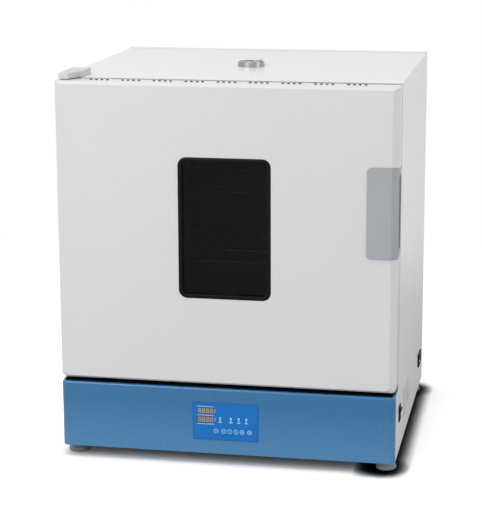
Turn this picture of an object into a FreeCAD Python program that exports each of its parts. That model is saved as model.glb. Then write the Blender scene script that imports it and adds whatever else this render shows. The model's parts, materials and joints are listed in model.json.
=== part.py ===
import FreeCAD, Part
import math
import os

# Forced-air drying oven, bench size, in millimetres. The front faces -Y, +X is to the right
# and +Z is up. The origin is on the surface it stands on, under the middle of the cabinet.

# Chamber and the layers round it, which together give the overall size
chamber_width = 500.0
chamber_height = 450.0
chamber_depth = 358.0
chamber_corner_radius = 12.0
plenum_depth = 45.0
side_wall = 70.0
roof_wall = 62.0
floor_wall = 65.0
rear_wall = 45.0
motor_bay_depth = 70.0
base_height = 128.0
foot_height = 22.0
door_thickness = 44.0
seal_gap = 8.0

# Sheet metal and general clearances
outer_sheet = 1.5
liner_sheet = 1.2
fit_gap = 0.3
shell_edge_radius = 3.0
hole_sides = 6

# Door leaf
door_bottom_gap = 7.0
door_top_gap = 1.5
bevel_side = 12.0
bevel_top = 5.5
bevel_depth = 9.0
door_bottom_corner_radius = 10.0
plug_depth = 20.0
plug_clearance = 9.0
plug_corner_radius = 8.0
wool_gap = 1.0
liner_return = 12.0

# Row of vent holes along the top of the door
hole_radius = 2.3
hole_pitch = 10.5
holes_in_group = 4
group_pitch = 60.0
group_count = 9
hole_setback = 29.0

# Door window
window_width = 158.0
window_height = 250.0
window_corner_radius = 8.0
window_rise = 16.0
gasket_lip = 8.0
gasket_proud = 1.6
glass_thickness = 4.0
glass_overlap = 9.0
tunnel_clearance = 1.0
retainer_width = 9.0
retainer_thickness = 1.5

# Door seal and magnetic catch
seal_offset = 10.0
seal_width = 13.0
seal_bevel = 3.0
magnet_length = 60.0
magnet_width = 12.0
magnet_thickness = 4.0
magnet_gap = 0.6
magnet_offset = 10.0
magnet_spacing = 300.0

# Door handle with its finger pocket in the edge of the door
handle_width = 57.5
handle_height = 168.0
handle_rise = 55.0
handle_proud = 3.0
handle_corner_radius = 8.0
handle_edge_radius = 5.0
handle_front_overlap = 9.0
handle_lip = 8.0
handle_side_proud = 0.4
handle_cabinet_gap = 1.0
pocket_height = 138.0
pocket_reach = 36.0
pocket_front_wall = 13.0
pocket_back_wall = 3.5
pocket_end_radius = 9.0

# Door hinge
pivot_inset = 14.0
pivot_setback = 32.0
hinge_pin_radius = 4.0
hinge_running_gap = 0.06
hinge_pin_reach = 22.0
hinge_plate_thickness = 4.0
hinge_block_side = 21.0
hinge_collar_radius = 7.0
cover_width = 37.0
cover_length = 90.0
cover_height = 11.0
cover_wall = 2.0
cover_nose = 12.0
cover_side_inset = 4.0
cover_flat_front = 18.0
cover_chamfer_length = 38.0

# Base compartment and its blue front panel
base_return = 15.0
base_edge_radius = 11.0
base_top_radius = 4.0
pan_wall_height = 20.0
pan_slot_width = 60.0
pan_slot_height = 6.0
pan_slot_pitch = 14.0
pan_slot_count = 6

# Keypad on the base panel
overlay_width = 126.0
overlay_height = 74.0
overlay_thickness = 0.8
overlay_corner_radius = 3.0
display_width = 31.0
display_height = 12.0
display_pitch = 17.0
display_inset = 9.5
display_drop = 11.0
display_recess = 0.4
key_radius = 5.2
key_stem_radius = 2.5
key_stem_sides = 6
key_cap_sides = 16
key_inner_pitch = 11.8
key_outer_pitch = 14.6
key_row_offset = 14.2
key_row_height = 18.5
key_proud = 0.5
key_travel = 0.4
key_stop_gap = 0.05
key_switch_drop = 1.5
key_hole_gap = 0.3
board_width = 124.0
board_height = 68.0
board_thickness = 1.6
board_standoff = 5.0
standoff_radius = 2.5
tact_switch_side = 6.0

# Rocker power switch on the right side
switch_setback = 77.0
switch_rise = 76.0
bezel_width = 25.6
bezel_height = 31.0
bezel_thickness = 2.2
bezel_bevel = 0.8
switch_body_depth = 22.0
switch_wall = 2.0
rocker_gap = 0.35
rocker_end_gap = 1.7
rocker_floor_gap = 4.0
rocker_half_length = 10.0
rocker_crown = 8.5
rocker_waist = 5.5
rocker_root = 7.0
rocker_pivot_depth = 4.0
rocker_tilt = 8.0

# Other fittings on the right side
hatch_setback = 173.0
hatch_rise = 69.0
hatch_width = 30.0
hatch_height = 57.0
hatch_thickness = 2.5
hatch_bevel = 1.0
hatch_notch_width = 12.0
hatch_notch_height = 7.0
hatch_notch_depth = 1.5
hatch_notch_rise = 8.0
cap_setback = 245.0
cap_rise = 72.0
cap_radius = 24.0
cap_dome = 6.0
cap_rim = 2.4
cap_stem_radius = 18.0
cap_stem_length = 8.0
cap_stem_sides = 12
inlet_back_inset = 80.0
inlet_rise = 63.0
inlet_width = 50.0
inlet_height = 27.0
inlet_flange = 3.0
inlet_body_width = 30.0
inlet_body_height = 22.0
inlet_body_depth = 22.0
inlet_socket_width = 24.5
inlet_socket_height = 16.5
inlet_socket_depth = 16.0
inlet_pin_spacing = 7.0
inlet_bevel = 0.8
inlet_key_cut = 5.0
inlet_pin_recess = 3.0
inlet_pin_thickness = 2.0
inlet_pin_width = 4.0
inlet_pin_drop = 2.0

# Exhaust vent in the roof
vent_setback = 223.0
vent_duct_radius = 20.0
vent_duct_wall = 1.5
vent_duct_sides = 12
vent_flange_radius = 30.0
vent_collar_radius = 26.5
vent_collar_wall = 3.0
vent_collar_height = 9.0
vent_collar_taper = 1.0
vent_web = 1.6
vent_web_drop = 4.6
vent_sector_count = 3
vent_sector_angle = 56.0
vent_sector_inner = 5.0
vent_sector_outer = 16.5
damper_radius = 22.5
damper_thickness = 1.6
damper_gap = 0.4
damper_pin_radius = 2.5
damper_tab_height = 8.0
damper_tab_length = 11.0
damper_tab_thickness = 2.0

# Air circulation behind the baffle
fan_radius = 75.0
fan_front_gap = 7.0
fan_rear_gap = 8.5
fan_sheet = 1.5
fan_blade_count = 12
fan_blade_inner = 57.0
fan_blade_sweep = 14.0
fan_blade_thickness = 1.4
fan_hub_radius = 11.0
fan_hub_length = 12.0
shaft_radius = 4.0
shaft_nose = 3.0
shaft_hole_radius = 9.0
heater_gap = 21.0
heater_tube_radius = 4.0
heater_tube_sides = 6
heater_leg_angle = 12.0
heater_leg_hole_gap = 2.0
heater_nut_radius = 8.5
heater_nut_length = 7.0
heater_terminal_length = 6.0
intake_inner_radius = 12.0
intake_middle_radius = 29.0
intake_outer_radius = 54.0
intake_slot_width = 4.5
intake_inner_count = 8
intake_outer_count = 16
supply_slot_length = 42.0
supply_slot_height = 8.0
supply_slot_rows = 7
supply_slot_pitch = 54.0
supply_slot_inset = 14.0

# Fan motor in the rear bay
motor_standoff = 10.0
motor_post_radius = 4.0
post_sides = 6
motor_plate_side = 92.0
motor_plate_thickness = 2.0
motor_core_side = 64.0
motor_core_length = 22.0
motor_cap_radius = 24.0
motor_cap_sides = 16
motor_length = 40.0
motor_bore_depth = 24.0

# Temperature sensor
sensor_radius = 2.5
sensor_offset = 120.0
sensor_rise = 120.0
sensor_reach = 60.0
sensor_nut_radius = 8.0
sensor_nut_length = 8.0
sensor_lead_length = 4.0
nut_sides = 6

# Shelf guides and wire shelves
guide_front_inset = 12.0
guide_back_gap = 8.0
ridge_depth = 10.0
ridge_height = 8.0
ridge_slope = 4.0
ridge_pitch = 45.0
ridge_count = 8
ridge_first = 68.0
guide_end_margin = 18.0
shelf_bar = 5.0
shelf_corner_radius = 10.0
shelf_side_play = 3.0
shelf_back_play = 6.0
shelf_travel = 10.0
shelf_front_play = 5.0
shelf_wire_radius = 1.6
shelf_wire_count = 13
shelf_wire_sides = 4
shelf_cross_width = 8.0
shelf_cross_height = 3.0
lower_shelf_level = 2
upper_shelf_level = 5

# Rear cover with pressed louvres
cover_flange = 14.0
louvre_length = 96.0
louvre_height = 9.0
louvre_depth = 5.0
louvre_pitch = 17.0
louvre_column_gap = 24.0
upper_louvre_rows = 7
lower_louvre_rows = 4
lower_louvre_rise = 45.0

# Feet
foot_inset_x = 20.0
foot_inset_front = 42.0
foot_inset_back = 34.0
foot_base_radius = 19.5
foot_top_radius = 15.0
foot_round = 3.0
foot_stud_radius = 4.0
foot_stud_length = 8.0
foot_stud_sides = 6

# Relay on its heat sink, in the base
sink_width = 70.0
sink_depth = 90.0
sink_plate = 5.0
sink_fin_height = 22.0
sink_fin_thickness = 2.5
sink_fin_count = 8
sink_offset = 170.0
relay_width = 45.0
relay_length = 58.0
relay_height = 23.0

# Places worked out from the sizes above
body_width = chamber_width + 2 * side_wall
body_depth = door_thickness + seal_gap + chamber_depth + plenum_depth + rear_wall + motor_bay_depth
half_width = body_width / 2
front_y = -body_depth / 2
back_y = body_depth / 2
door_back_y = front_y + door_thickness
frame_y = door_back_y + seal_gap
chamber_front_y = frame_y + outer_sheet
baffle_y = frame_y + chamber_depth
chamber_back_y = baffle_y + plenum_depth
partition_y = chamber_back_y + rear_wall
cover_y = back_y - outer_sheet
base_bottom = foot_height
base_top = base_bottom + base_height
chamber_floor = base_top + floor_wall
chamber_top = chamber_floor + chamber_height
body_top = chamber_top + roof_wall
chamber_middle = (chamber_floor + chamber_top) / 2
half_chamber = chamber_width / 2
inner_half = half_width - outer_sheet
door_bottom = base_top + door_bottom_gap
door_top = body_top - door_top_gap
door_height = door_top - door_bottom
door_middle = (door_bottom + door_top) / 2
window_middle = door_middle + window_rise
handle_middle = door_middle + handle_rise
handle_left = half_width - handle_width
pivot_x = -half_width + pivot_inset
pivot_y = front_y + pivot_setback
plug_face_y = door_back_y + plug_depth
base_middle = (base_bottom + base_top) / 2
overlay_top = base_middle + overlay_height / 2
overlay_bottom = base_middle - overlay_height / 2
key_row_z = overlay_bottom + key_row_height
board_front_y = front_y + outer_sheet + board_standoff
vent_y = frame_y + vent_setback

across = FreeCAD.Vector(1, 0, 0)
inward = FreeCAD.Vector(0, 1, 0)
upward = FreeCAD.Vector(0, 0, 1)


def point(x, y, z):
    return FreeCAD.Vector(x, y, z)


def block(x_low, x_high, y_low, y_high, z_low, z_high):
    corner = point(x_low, y_low, z_low)
    return Part.makeBox(x_high - x_low, y_high - y_low, z_high - z_low, corner)


def rod(start, axis, length, radius):
    return Part.makeCylinder(radius, length, start, axis)


def rounded_loop(width, height, radii, centre, right, up):
    """A closed rectangle whose corners, from lower left round to upper left, have these radii."""
    signs = ((-1, -1), (1, -1), (1, 1), (-1, 1))
    travel = ((right, -1), (up, -1), (right, 1), (up, 1))
    edges = []
    ends = []
    for index, (sign_x, sign_y) in enumerate(signs):
        corner = centre + right * (sign_x * width / 2) + up * (sign_y * height / 2)
        leave = travel[index][0] * (-travel[index][1])
        arrive = travel[index - 1][0] * (-travel[index - 1][1])
        radius = radii[index]
        start = corner - arrive * radius
        end = corner + leave * radius
        if radius > 0:
            middle = corner - arrive * radius + leave * radius
            outwards = (corner - middle).normalize()
            edges.append(Part.Arc(start, middle + outwards * radius, end).toShape())
        ends.append((start, end))
    loop = []
    arcs = iter(edges)
    for index in range(4):
        if radii[index] > 0:
            loop.append(next(arcs))
        line_start = ends[index][1]
        line_end = ends[(index + 1) % 4][0]
        loop.append(Part.LineSegment(line_start, line_end).toShape())
    return Part.Wire(loop)


def facing_plate(width, height, radius, centre_x, centre_z, y_low, y_high):
    """A plate that faces the front, with four rounded corners."""
    loop = rounded_loop(width, height, (radius,) * 4, point(centre_x, y_low, centre_z), across, upward)
    return Part.Face(loop).extrude(inward * (y_high - y_low))


def side_plate(width, height, radius, centre_y, centre_z, x_low, x_high):
    """A plate that faces the right side, with four rounded corners."""
    loop = rounded_loop(width, height, (radius,) * 4, point(x_low, centre_y, centre_z), inward, upward)
    return Part.Face(loop).extrude(across * (x_high - x_low))


def prism(points, direction):
    """A polygon pushed along a vector."""
    return Part.Face(Part.makePolygon(points + points[:1])).extrude(direction)


def many_sided(start, axis, length, radius, sides):
    """A bar whose section is a regular polygon with a flat side down, along one of the axes."""
    first = inward if axis == across else across
    second = inward if axis == upward else upward
    corners = []
    for index in range(sides):
        angle = 2 * math.pi * (index + 0.5) / sides
        corners.append(start + first * (radius * math.cos(angle)) + second * (radius * math.sin(angle)))
    return prism(corners, axis * length)


def clear_hole(start, axis, length, radius):
    """A many-sided hole that leaves a round bar of this radius free to pass."""
    return many_sided(start, axis, length, radius / math.cos(math.pi / hole_sides), hole_sides)


def turned(profile, centre):
    """A profile of (radius, height) points turned about the upright axis through a centre."""
    points = [point(centre.x + radius, centre.y, centre.z + height) for radius, height in profile]
    face = Part.Face(Part.makePolygon(points + points[:1]))
    return face.revolve(centre, upward, 360)


def fuse_all(shapes):
    return shapes[0].multiFuse(shapes[1:]).removeSplitter()


# Cabinet sheet metal


def outer_shell():
    """Roof and two sides in one folded sheet, longer at the foot where the base comes forward."""
    length = cover_y - front_y - base_return
    middle_z = (base_bottom + body_top) / 2
    start = point(0, front_y + base_return, middle_z)
    height = body_top - base_bottom
    radii = (0, 0, shell_edge_radius, shell_edge_radius)
    shell = Part.Face(rounded_loop(body_width, height, radii, start, across, upward)).extrude(inward * length)
    hollow = block(-inner_half, inner_half, front_y, back_y, 0, body_top - outer_sheet)
    front = block(-half_width, half_width, front_y, frame_y, base_top, body_top + fit_gap)
    shell = shell.cut(hollow).cut(front)
    openings = [
        rod(point(0, vent_y, chamber_top), upward, roof_wall * 2, vent_duct_radius + fit_gap),
        side_plate(
            bezel_width - 2 * switch_wall,
            bezel_height - 2 * switch_wall,
            0,
            side_place(switch_setback),
            base_bottom + switch_rise,
            0,
            half_width + fit_gap,
        ),
        side_plate(
            inlet_body_width + 2 * fit_gap,
            inlet_body_height + 2 * fit_gap,
            0,
            back_y - inlet_back_inset,
            base_bottom + inlet_rise,
            0,
            half_width + fit_gap,
        ),
        rod(
            point(0, side_place(cap_setback), base_bottom + cap_rise),
            across,
            half_width + fit_gap,
            cap_stem_radius + fit_gap,
        ),
    ]
    for opening in openings:
        shell = shell.cut(opening)
    return shell


def side_place(setback):
    """A place along the side, measured back from the front of the base."""
    return front_y + setback


def base_pan():
    """Tray that closes the bottom, with upturned walls and air slots."""
    half = inner_half - fit_gap
    y_low = front_y + base_return
    y_high = cover_y - fit_gap
    tray = block(-half, half, y_low, y_high, base_bottom, base_bottom + pan_wall_height)
    hollow = block(
        -half + outer_sheet,
        half - outer_sheet,
        y_low + outer_sheet,
        y_high - outer_sheet,
        base_bottom + outer_sheet,
        base_bottom + pan_wall_height + fit_gap,
    )
    tray = tray.cut(hollow)
    slot_x = half_width / 2
    first_y = -pan_slot_pitch * (pan_slot_count - 1) / 2
    for side in (-1, 1):
        for index in range(pan_slot_count):
            y = first_y + index * pan_slot_pitch
            left = side * slot_x - pan_slot_width / 2
            slot = block(
                left, left + pan_slot_width, y - pan_slot_height / 2, y + pan_slot_height / 2, 0, base_top
            )
            tray = tray.cut(slot)
    for x, y in foot_places():
        hole = many_sided(point(x, y, 0), upward, base_top, foot_stud_radius + fit_gap, foot_stud_sides)
        tray = tray.cut(hole)
    return tray


def foot_places():
    x = half_width - foot_inset_x
    front = front_y + foot_inset_front
    back = back_y - foot_inset_back
    return [(-x, front), (x, front), (-x, back), (x, back)]


def rubber_feet():
    return Part.makeCompound([foot(x, y) for x, y in foot_places()])


def foot(x, y):
    """Rubber foot, wider at the bottom, with a hexagon stud that passes up through the pan."""
    profile = [
        (0, 0),
        (foot_base_radius - foot_round, 0),
        (foot_base_radius, foot_round),
        (foot_top_radius, foot_height),
        (0, foot_height),
    ]
    stud = many_sided(
        point(x, y, foot_height), upward, foot_stud_length, foot_stud_radius, foot_stud_sides
    )
    return fuse_all([turned(profile, point(x, y, 0)), stud])


def insulation_tray():
    """Sheet between the base compartment and the insulation."""
    half = inner_half - fit_gap
    return block(-half, half, frame_y + fit_gap, partition_y, base_top - liner_sheet, base_top)


def rear_partition():
    """Upright sheet behind the insulation, which carries the fan motor."""
    half = inner_half - fit_gap
    top = body_top - outer_sheet - fit_gap
    sheet = block(-half, half, partition_y, partition_y + liner_sheet, base_top - liner_sheet, top)
    return cut_service_holes(sheet)


def service_holes():
    """Start point and radius of each hole that runs back from the plenum."""
    holes = [(point(0, baffle_y, chamber_middle), shaft_hole_radius)]
    for x, z in heater_legs():
        holes.append((point(x, baffle_y + plenum_depth / 2, z), heater_tube_radius + heater_leg_hole_gap))
    sensor = point(sensor_offset, baffle_y - sensor_reach, chamber_middle + sensor_rise)
    holes.append((sensor, sensor_radius + fit_gap))
    return holes


def cut_service_holes(shape):
    for start, radius in service_holes():
        shape = shape.cut(clear_hole(start, inward, back_y, radius))
    return shape


def front_frame():
    """Flat frame round the chamber mouth, which the door seal closes on."""
    half = inner_half - fit_gap
    bottom = base_top
    top = body_top - outer_sheet - fit_gap
    sheet = block(-half, half, frame_y, chamber_front_y, bottom, top)
    mouth = facing_plate(
        chamber_width, chamber_height, chamber_corner_radius, 0, chamber_middle, front_y, back_y
    )
    return sheet.cut(mouth)


def inner_chamber():
    """Stainless box, open at the front, with holes for the duct, shaft, heater and sensor."""
    outer = facing_plate(
        chamber_width + 2 * liner_sheet,
        chamber_height + 2 * liner_sheet,
        chamber_corner_radius + liner_sheet,
        0,
        chamber_middle,
        chamber_front_y,
        chamber_back_y + liner_sheet,
    )
    inner = facing_plate(
        chamber_width, chamber_height, chamber_corner_radius, 0, chamber_middle, front_y, chamber_back_y
    )
    duct = duct_form(vent_duct_radius - vent_duct_wall, chamber_middle, body_top)
    return cut_service_holes(outer.cut(inner).cut(duct))


def insulation():
    """Mineral wool that fills the space between the chamber and the outer sheets."""
    half = inner_half - fit_gap
    top = body_top - outer_sheet - fit_gap
    wool = block(
        -half,
        half,
        chamber_front_y + fit_gap,
        partition_y - fit_gap,
        base_top + fit_gap,
        top,
    )
    chamber = facing_plate(
        chamber_width + 2 * (liner_sheet + fit_gap),
        chamber_height + 2 * (liner_sheet + fit_gap),
        0,
        0,
        chamber_middle,
        front_y,
        chamber_back_y + liner_sheet + fit_gap,
    )
    flange = duct_form(vent_flange_radius + fit_gap, chamber_top, chamber_top + 2 * liner_sheet + fit_gap)
    duct = duct_form(vent_duct_radius + fit_gap, chamber_top, body_top)
    return cut_service_holes(wool.cut(chamber).cut(flange).cut(duct))


def base_front_panel():
    """Front of the base: a pan with large round upright edges and a ledge under the door."""
    outer = base_panel_form(0)
    rims = [
        edge
        for edge in outer.Edges
        if edge.BoundBox.ZMin > base_top - fit_gap and edge.BoundBox.YMin < front_y + base_edge_radius
        and edge.BoundBox.YMax - edge.BoundBox.YMin < base_edge_radius + fit_gap
    ]
    panel = outer.makeFillet(base_top_radius, rims).cut(base_panel_form(outer_sheet))
    half = inner_half - fit_gap
    ledge = block(
        -half,
        half,
        front_y + base_return - outer_sheet,
        frame_y,
        base_top - outer_sheet,
        base_top,
    )
    panel = panel.fuse(ledge).removeSplitter()
    for z in display_rows():
        window = facing_plate(
            display_width + 2 * fit_gap, display_height + 2 * fit_gap, 0, display_x(), z, front_y, 0
        )
        panel = panel.cut(window)
    for x in key_columns():
        radius = key_stem_radius + key_hole_gap
        panel = panel.cut(
            many_sided(point(x, front_y, key_row_z), inward, base_return, radius, key_stem_sides)
        )
    return panel


def base_panel_form(inset):
    """The solid form of the base panel, made smaller by an inset on the closed sides."""
    half = half_width - inset
    low = base_bottom + inset
    high = base_top - inset
    y_low = front_y + inset
    y_high = front_y + base_return
    form = block(-half, half, y_low, y_high, low, high)
    uprights = [
        edge
        for edge in form.Edges
        if abs(edge.CenterOfMass.y - y_low) < 0.01 and abs(abs(edge.CenterOfMass.x) - half) < 0.01
    ]
    form = form.makeFillet(base_edge_radius - inset, uprights)
    return form


def back_cover():
    """Rear sheet that laps over the roof and carries two fields of pressed louvres."""
    plate = block(-half_width, half_width, cover_y, back_y, base_bottom, body_top + outer_sheet)
    lap = block(
        -half_width, half_width, back_y - cover_flange, back_y, body_top, body_top + outer_sheet
    )
    cover = plate.fuse(lap).removeSplitter()
    hoods = []
    for x, z in louvre_places():
        slot = block(
            x - louvre_length / 2 + outer_sheet,
            x + louvre_length / 2 - outer_sheet,
            cover_y - 1,
            back_y + 1,
            z - louvre_height / 2 + outer_sheet,
            z + louvre_height / 2 - outer_sheet,
        )
        cover = cover.cut(slot)
        hoods.append(louvre_hood(x, z))
    return cover.multiFuse(hoods).removeSplitter()


def louvre_places():
    places = []
    for side in (-1, 1):
        x = side * (louvre_length + louvre_column_gap) / 2
        first = chamber_middle - louvre_pitch * (upper_louvre_rows - 1) / 2
        for row in range(upper_louvre_rows):
            places.append((x, first + row * louvre_pitch))
        for row in range(lower_louvre_rows):
            places.append((x, base_bottom + lower_louvre_rise + row * louvre_pitch))
    return places


def louvre_hood(x, z):
    """One pressed hood: a curved sheet that leans out to an open lower edge, with closed ends."""
    outer = hood_form(x, z, 0)
    inner = hood_form(x, z, outer_sheet * 0.8)
    return outer.cut(inner)


def hood_form(x, z, inset):
    left = x - louvre_length / 2 + inset
    depth = louvre_depth - inset
    half = louvre_height / 2
    outline = [
        (0, half - inset),
        (depth * 0.72, (half - inset) * 0.3),
        (depth, -half),
        (0, -half),
    ]
    corners = [point(left, back_y + out, z + rise) for out, rise in outline]
    return prism(corners, across * (louvre_length - 2 * inset))


# Air circulation


def rear_air_baffle():
    """Stainless sheet in front of the fan, with an intake in the middle and supply slots at the sides."""
    half = half_chamber - fit_gap
    sheet = facing_plate(
        2 * half,
        chamber_height - 2 * fit_gap,
        chamber_corner_radius,
        0,
        chamber_middle,
        baffle_y,
        baffle_y + liner_sheet,
    )
    centre = point(0, baffle_y, chamber_middle)
    slots = []
    rings = (
        (intake_inner_radius, intake_middle_radius - intake_slot_width, intake_inner_count),
        (intake_middle_radius, intake_outer_radius, intake_outer_count),
    )
    for inner, outer, count in rings:
        for index in range(count):
            slot = block(
                inner, outer, baffle_y - 1, baffle_y + 5, chamber_middle - intake_slot_width / 2,
                chamber_middle + intake_slot_width / 2,
            )
            slot.rotate(centre, inward, 360.0 * index / count)
            slots.append(slot)
    first = chamber_middle - supply_slot_pitch * (supply_slot_rows - 1) / 2
    for side in (-1, 1):
        x = side * (half - supply_slot_inset - supply_slot_length / 2)
        for row in range(supply_slot_rows):
            z = first + row * supply_slot_pitch
            slots.append(
                block(
                    x - supply_slot_length / 2,
                    x + supply_slot_length / 2,
                    baffle_y - 1,
                    baffle_y + 5,
                    z - supply_slot_height / 2,
                    z + supply_slot_height / 2,
                )
            )
    for slot in slots:
        sheet = sheet.cut(slot)
    sensor = point(sensor_offset, front_y, chamber_middle + sensor_rise)
    return sheet.cut(clear_hole(sensor, inward, body_depth, sensor_radius + fit_gap))


def fan_wheel():
    """Radial fan: back disc, swept blades and a front ring on a hub."""
    front = baffle_y + liner_sheet + fan_front_gap
    back = chamber_back_y - fan_rear_gap
    centre = point(0, front, chamber_middle)
    disc = rod(point(0, back - fan_sheet, chamber_middle), inward, fan_sheet, fan_radius)
    ring = rod(centre, inward, fan_sheet, fan_radius).cut(rod(centre, inward, fan_sheet, fan_blade_inner))
    hub = rod(point(0, back - fan_hub_length, chamber_middle), inward, fan_hub_length, fan_hub_radius)
    pieces = [disc, ring, hub]
    for index in range(fan_blade_count):
        blade = fan_blade(front, back)
        blade.rotate(centre, inward, 360.0 * index / fan_blade_count)
        pieces.append(blade)
    wheel = fuse_all(pieces)
    return wheel.cut(rod(centre, inward, plenum_depth, shaft_radius))


def fan_blade(front, back):
    """One blade, bent forward in two flats between two radii."""
    inner = fan_blade_inner + fan_sheet
    outer = fan_radius - fan_sheet
    middle = (inner + outer) / 2
    sweep = math.radians(fan_blade_sweep)
    stations = ((inner, 0.0), (middle, sweep * 0.3), (outer, sweep))
    lower = [blade_point(radius, angle, front) for radius, angle in stations]
    upper = [
        blade_point(radius, angle + fan_blade_thickness / radius, front) for radius, angle in stations
    ]
    return prism(lower + upper[::-1], inward * (back - front))


def blade_point(radius, angle, y):
    return point(radius * math.cos(angle), y, chamber_middle + radius * math.sin(angle))


def fan_shaft():
    """Steel shaft from the motor to the fan, with a chamfered nose."""
    end = motor_face_y() + motor_bore_depth - shaft_nose
    start = chamber_back_y - fan_rear_gap - fan_hub_length - shaft_nose
    shaft = rod(point(0, start, chamber_middle), inward, end - start, shaft_radius)
    rim = [edge for edge in shaft.Edges if abs(edge.CenterOfMass.y - start) < 0.01]
    return shaft.makeChamfer(shaft_radius * 0.25, rim)


def motor_face_y():
    return partition_y + liner_sheet + motor_standoff + motor_plate_thickness


def motor_bracket():
    """Square plate on four posts, fixed to the rear partition."""
    plate_y = partition_y + liner_sheet + motor_standoff
    plate = facing_plate(
        motor_plate_side,
        motor_plate_side,
        0,
        0,
        chamber_middle,
        plate_y,
        plate_y + motor_plate_thickness,
    )
    plate = plate.cut(
        clear_hole(point(0, plate_y, chamber_middle), inward, motor_standoff, shaft_hole_radius)
    )
    reach = motor_plate_side / 2 - motor_post_radius * 2
    posts = []
    for side in (-1, 1):
        for level in (-1, 1):
            start = point(side * reach, partition_y + liner_sheet, chamber_middle + level * reach)
            posts.append(many_sided(start, inward, motor_standoff, motor_post_radius, post_sides))
    return fuse_all([plate] + posts)


def fan_motor():
    """Shaded-pole motor: a laminated core between two end caps, bored for its shaft."""
    start = motor_face_y()
    cap = many_sided(
        point(0, start, chamber_middle), inward, motor_length, motor_cap_radius, motor_cap_sides
    )
    core_y = start + (motor_length - motor_core_length) / 2
    core = facing_plate(
        motor_core_side,
        motor_core_side,
        0,
        0,
        chamber_middle,
        core_y,
        core_y + motor_core_length,
    )
    body = cap.fuse(core).removeSplitter()
    bore = rod(point(0, start, chamber_middle), inward, motor_bore_depth, shaft_radius + hinge_running_gap)
    return body.cut(bore)


def heater_ring_radius():
    return fan_radius + heater_gap


def heater_legs():
    """Places of the two straight ends of the heater, below the fan."""
    angle = math.radians(heater_leg_angle)
    x = heater_ring_radius() * math.sin(angle)
    z = chamber_middle - heater_ring_radius() * math.cos(angle)
    return [(-x, z), (x, z)]


def heater_element():
    """Tubular heater bent into an open ring, with ends that a nut holds behind the partition."""
    ring_y = baffle_y + plenum_depth / 2
    centre = point(0, ring_y, chamber_middle)
    section = []
    for index in range(heater_tube_sides):
        angle = 2 * math.pi * (index + 0.5) / heater_tube_sides
        section.append(
            point(
                heater_ring_radius() + heater_tube_radius * math.cos(angle),
                ring_y + heater_tube_radius * math.sin(angle),
                chamber_middle,
            )
        )
    face = Part.Face(Part.makePolygon(section + section[:1]))
    face.rotate(centre, inward, 90 + heater_leg_angle)
    pieces = [face.revolve(centre, inward, 360 - 2 * heater_leg_angle)]
    leg_start = ring_y - heater_tube_radius
    nut_y = partition_y + liner_sheet
    leg_length = nut_y + heater_nut_length + heater_terminal_length - leg_start
    for x, z in heater_legs():
        pieces.append(
            many_sided(point(x, leg_start, z), inward, leg_length, heater_tube_radius, heater_tube_sides)
        )
        nut = many_sided(point(x, nut_y, z), inward, heater_nut_length, heater_nut_radius, nut_sides)
        pieces.append(nut)
    return fuse_all(pieces)


def temperature_sensor():
    """Probe tube that reaches through the baffle, with a hexagon nut behind the partition."""
    z = chamber_middle + sensor_rise
    tip = baffle_y - sensor_reach
    nut_y = partition_y + liner_sheet
    length = nut_y + sensor_nut_length + sensor_lead_length - tip
    tube = rod(point(sensor_offset, tip, z), inward, length, sensor_radius)
    nut_start = point(sensor_offset, nut_y, z)
    nut = many_sided(nut_start, inward, sensor_nut_length, sensor_nut_radius, nut_sides)
    return fuse_all([tube, nut])


# Shelves


def ridge_height_of(level):
    """Height of the top of one ridge above the chamber floor."""
    return chamber_floor + ridge_first + level * ridge_pitch


def shelf_guide(side):
    """Side sheet pressed into ridges, which carry the edges of the shelves."""
    wall = half_chamber
    face = wall - liner_sheet
    rise = liner_sheet * 0.7
    low_end = ridge_height_of(0) - ridge_height - ridge_slope - guide_end_margin
    high_end = ridge_height_of(ridge_count - 1) + guide_end_margin
    chamber_side = [(0, low_end)]
    wall_side = [(0, low_end)]
    for level in range(ridge_count):
        top = ridge_height_of(level)
        foot_z = top - ridge_height - ridge_slope
        chamber_side += [(0, foot_z), (ridge_depth, foot_z + ridge_slope), (ridge_depth, top), (0, top)]
        wall_side += [
            (0, foot_z + rise),
            (ridge_depth, foot_z + ridge_slope + rise),
            (ridge_depth, top - liner_sheet),
            (0, top - liner_sheet),
        ]
    chamber_side.append((0, high_end))
    wall_side.append((0, high_end))
    y_low = frame_y + guide_front_inset
    y_high = baffle_y - guide_back_gap
    inner = [point(side * (face - depth), y_low, z) for depth, z in chamber_side]
    outer = [point(side * (wall - depth), y_low, z) for depth, z in wall_side]
    return prism(inner + outer[::-1], inward * (y_high - y_low))


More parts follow.
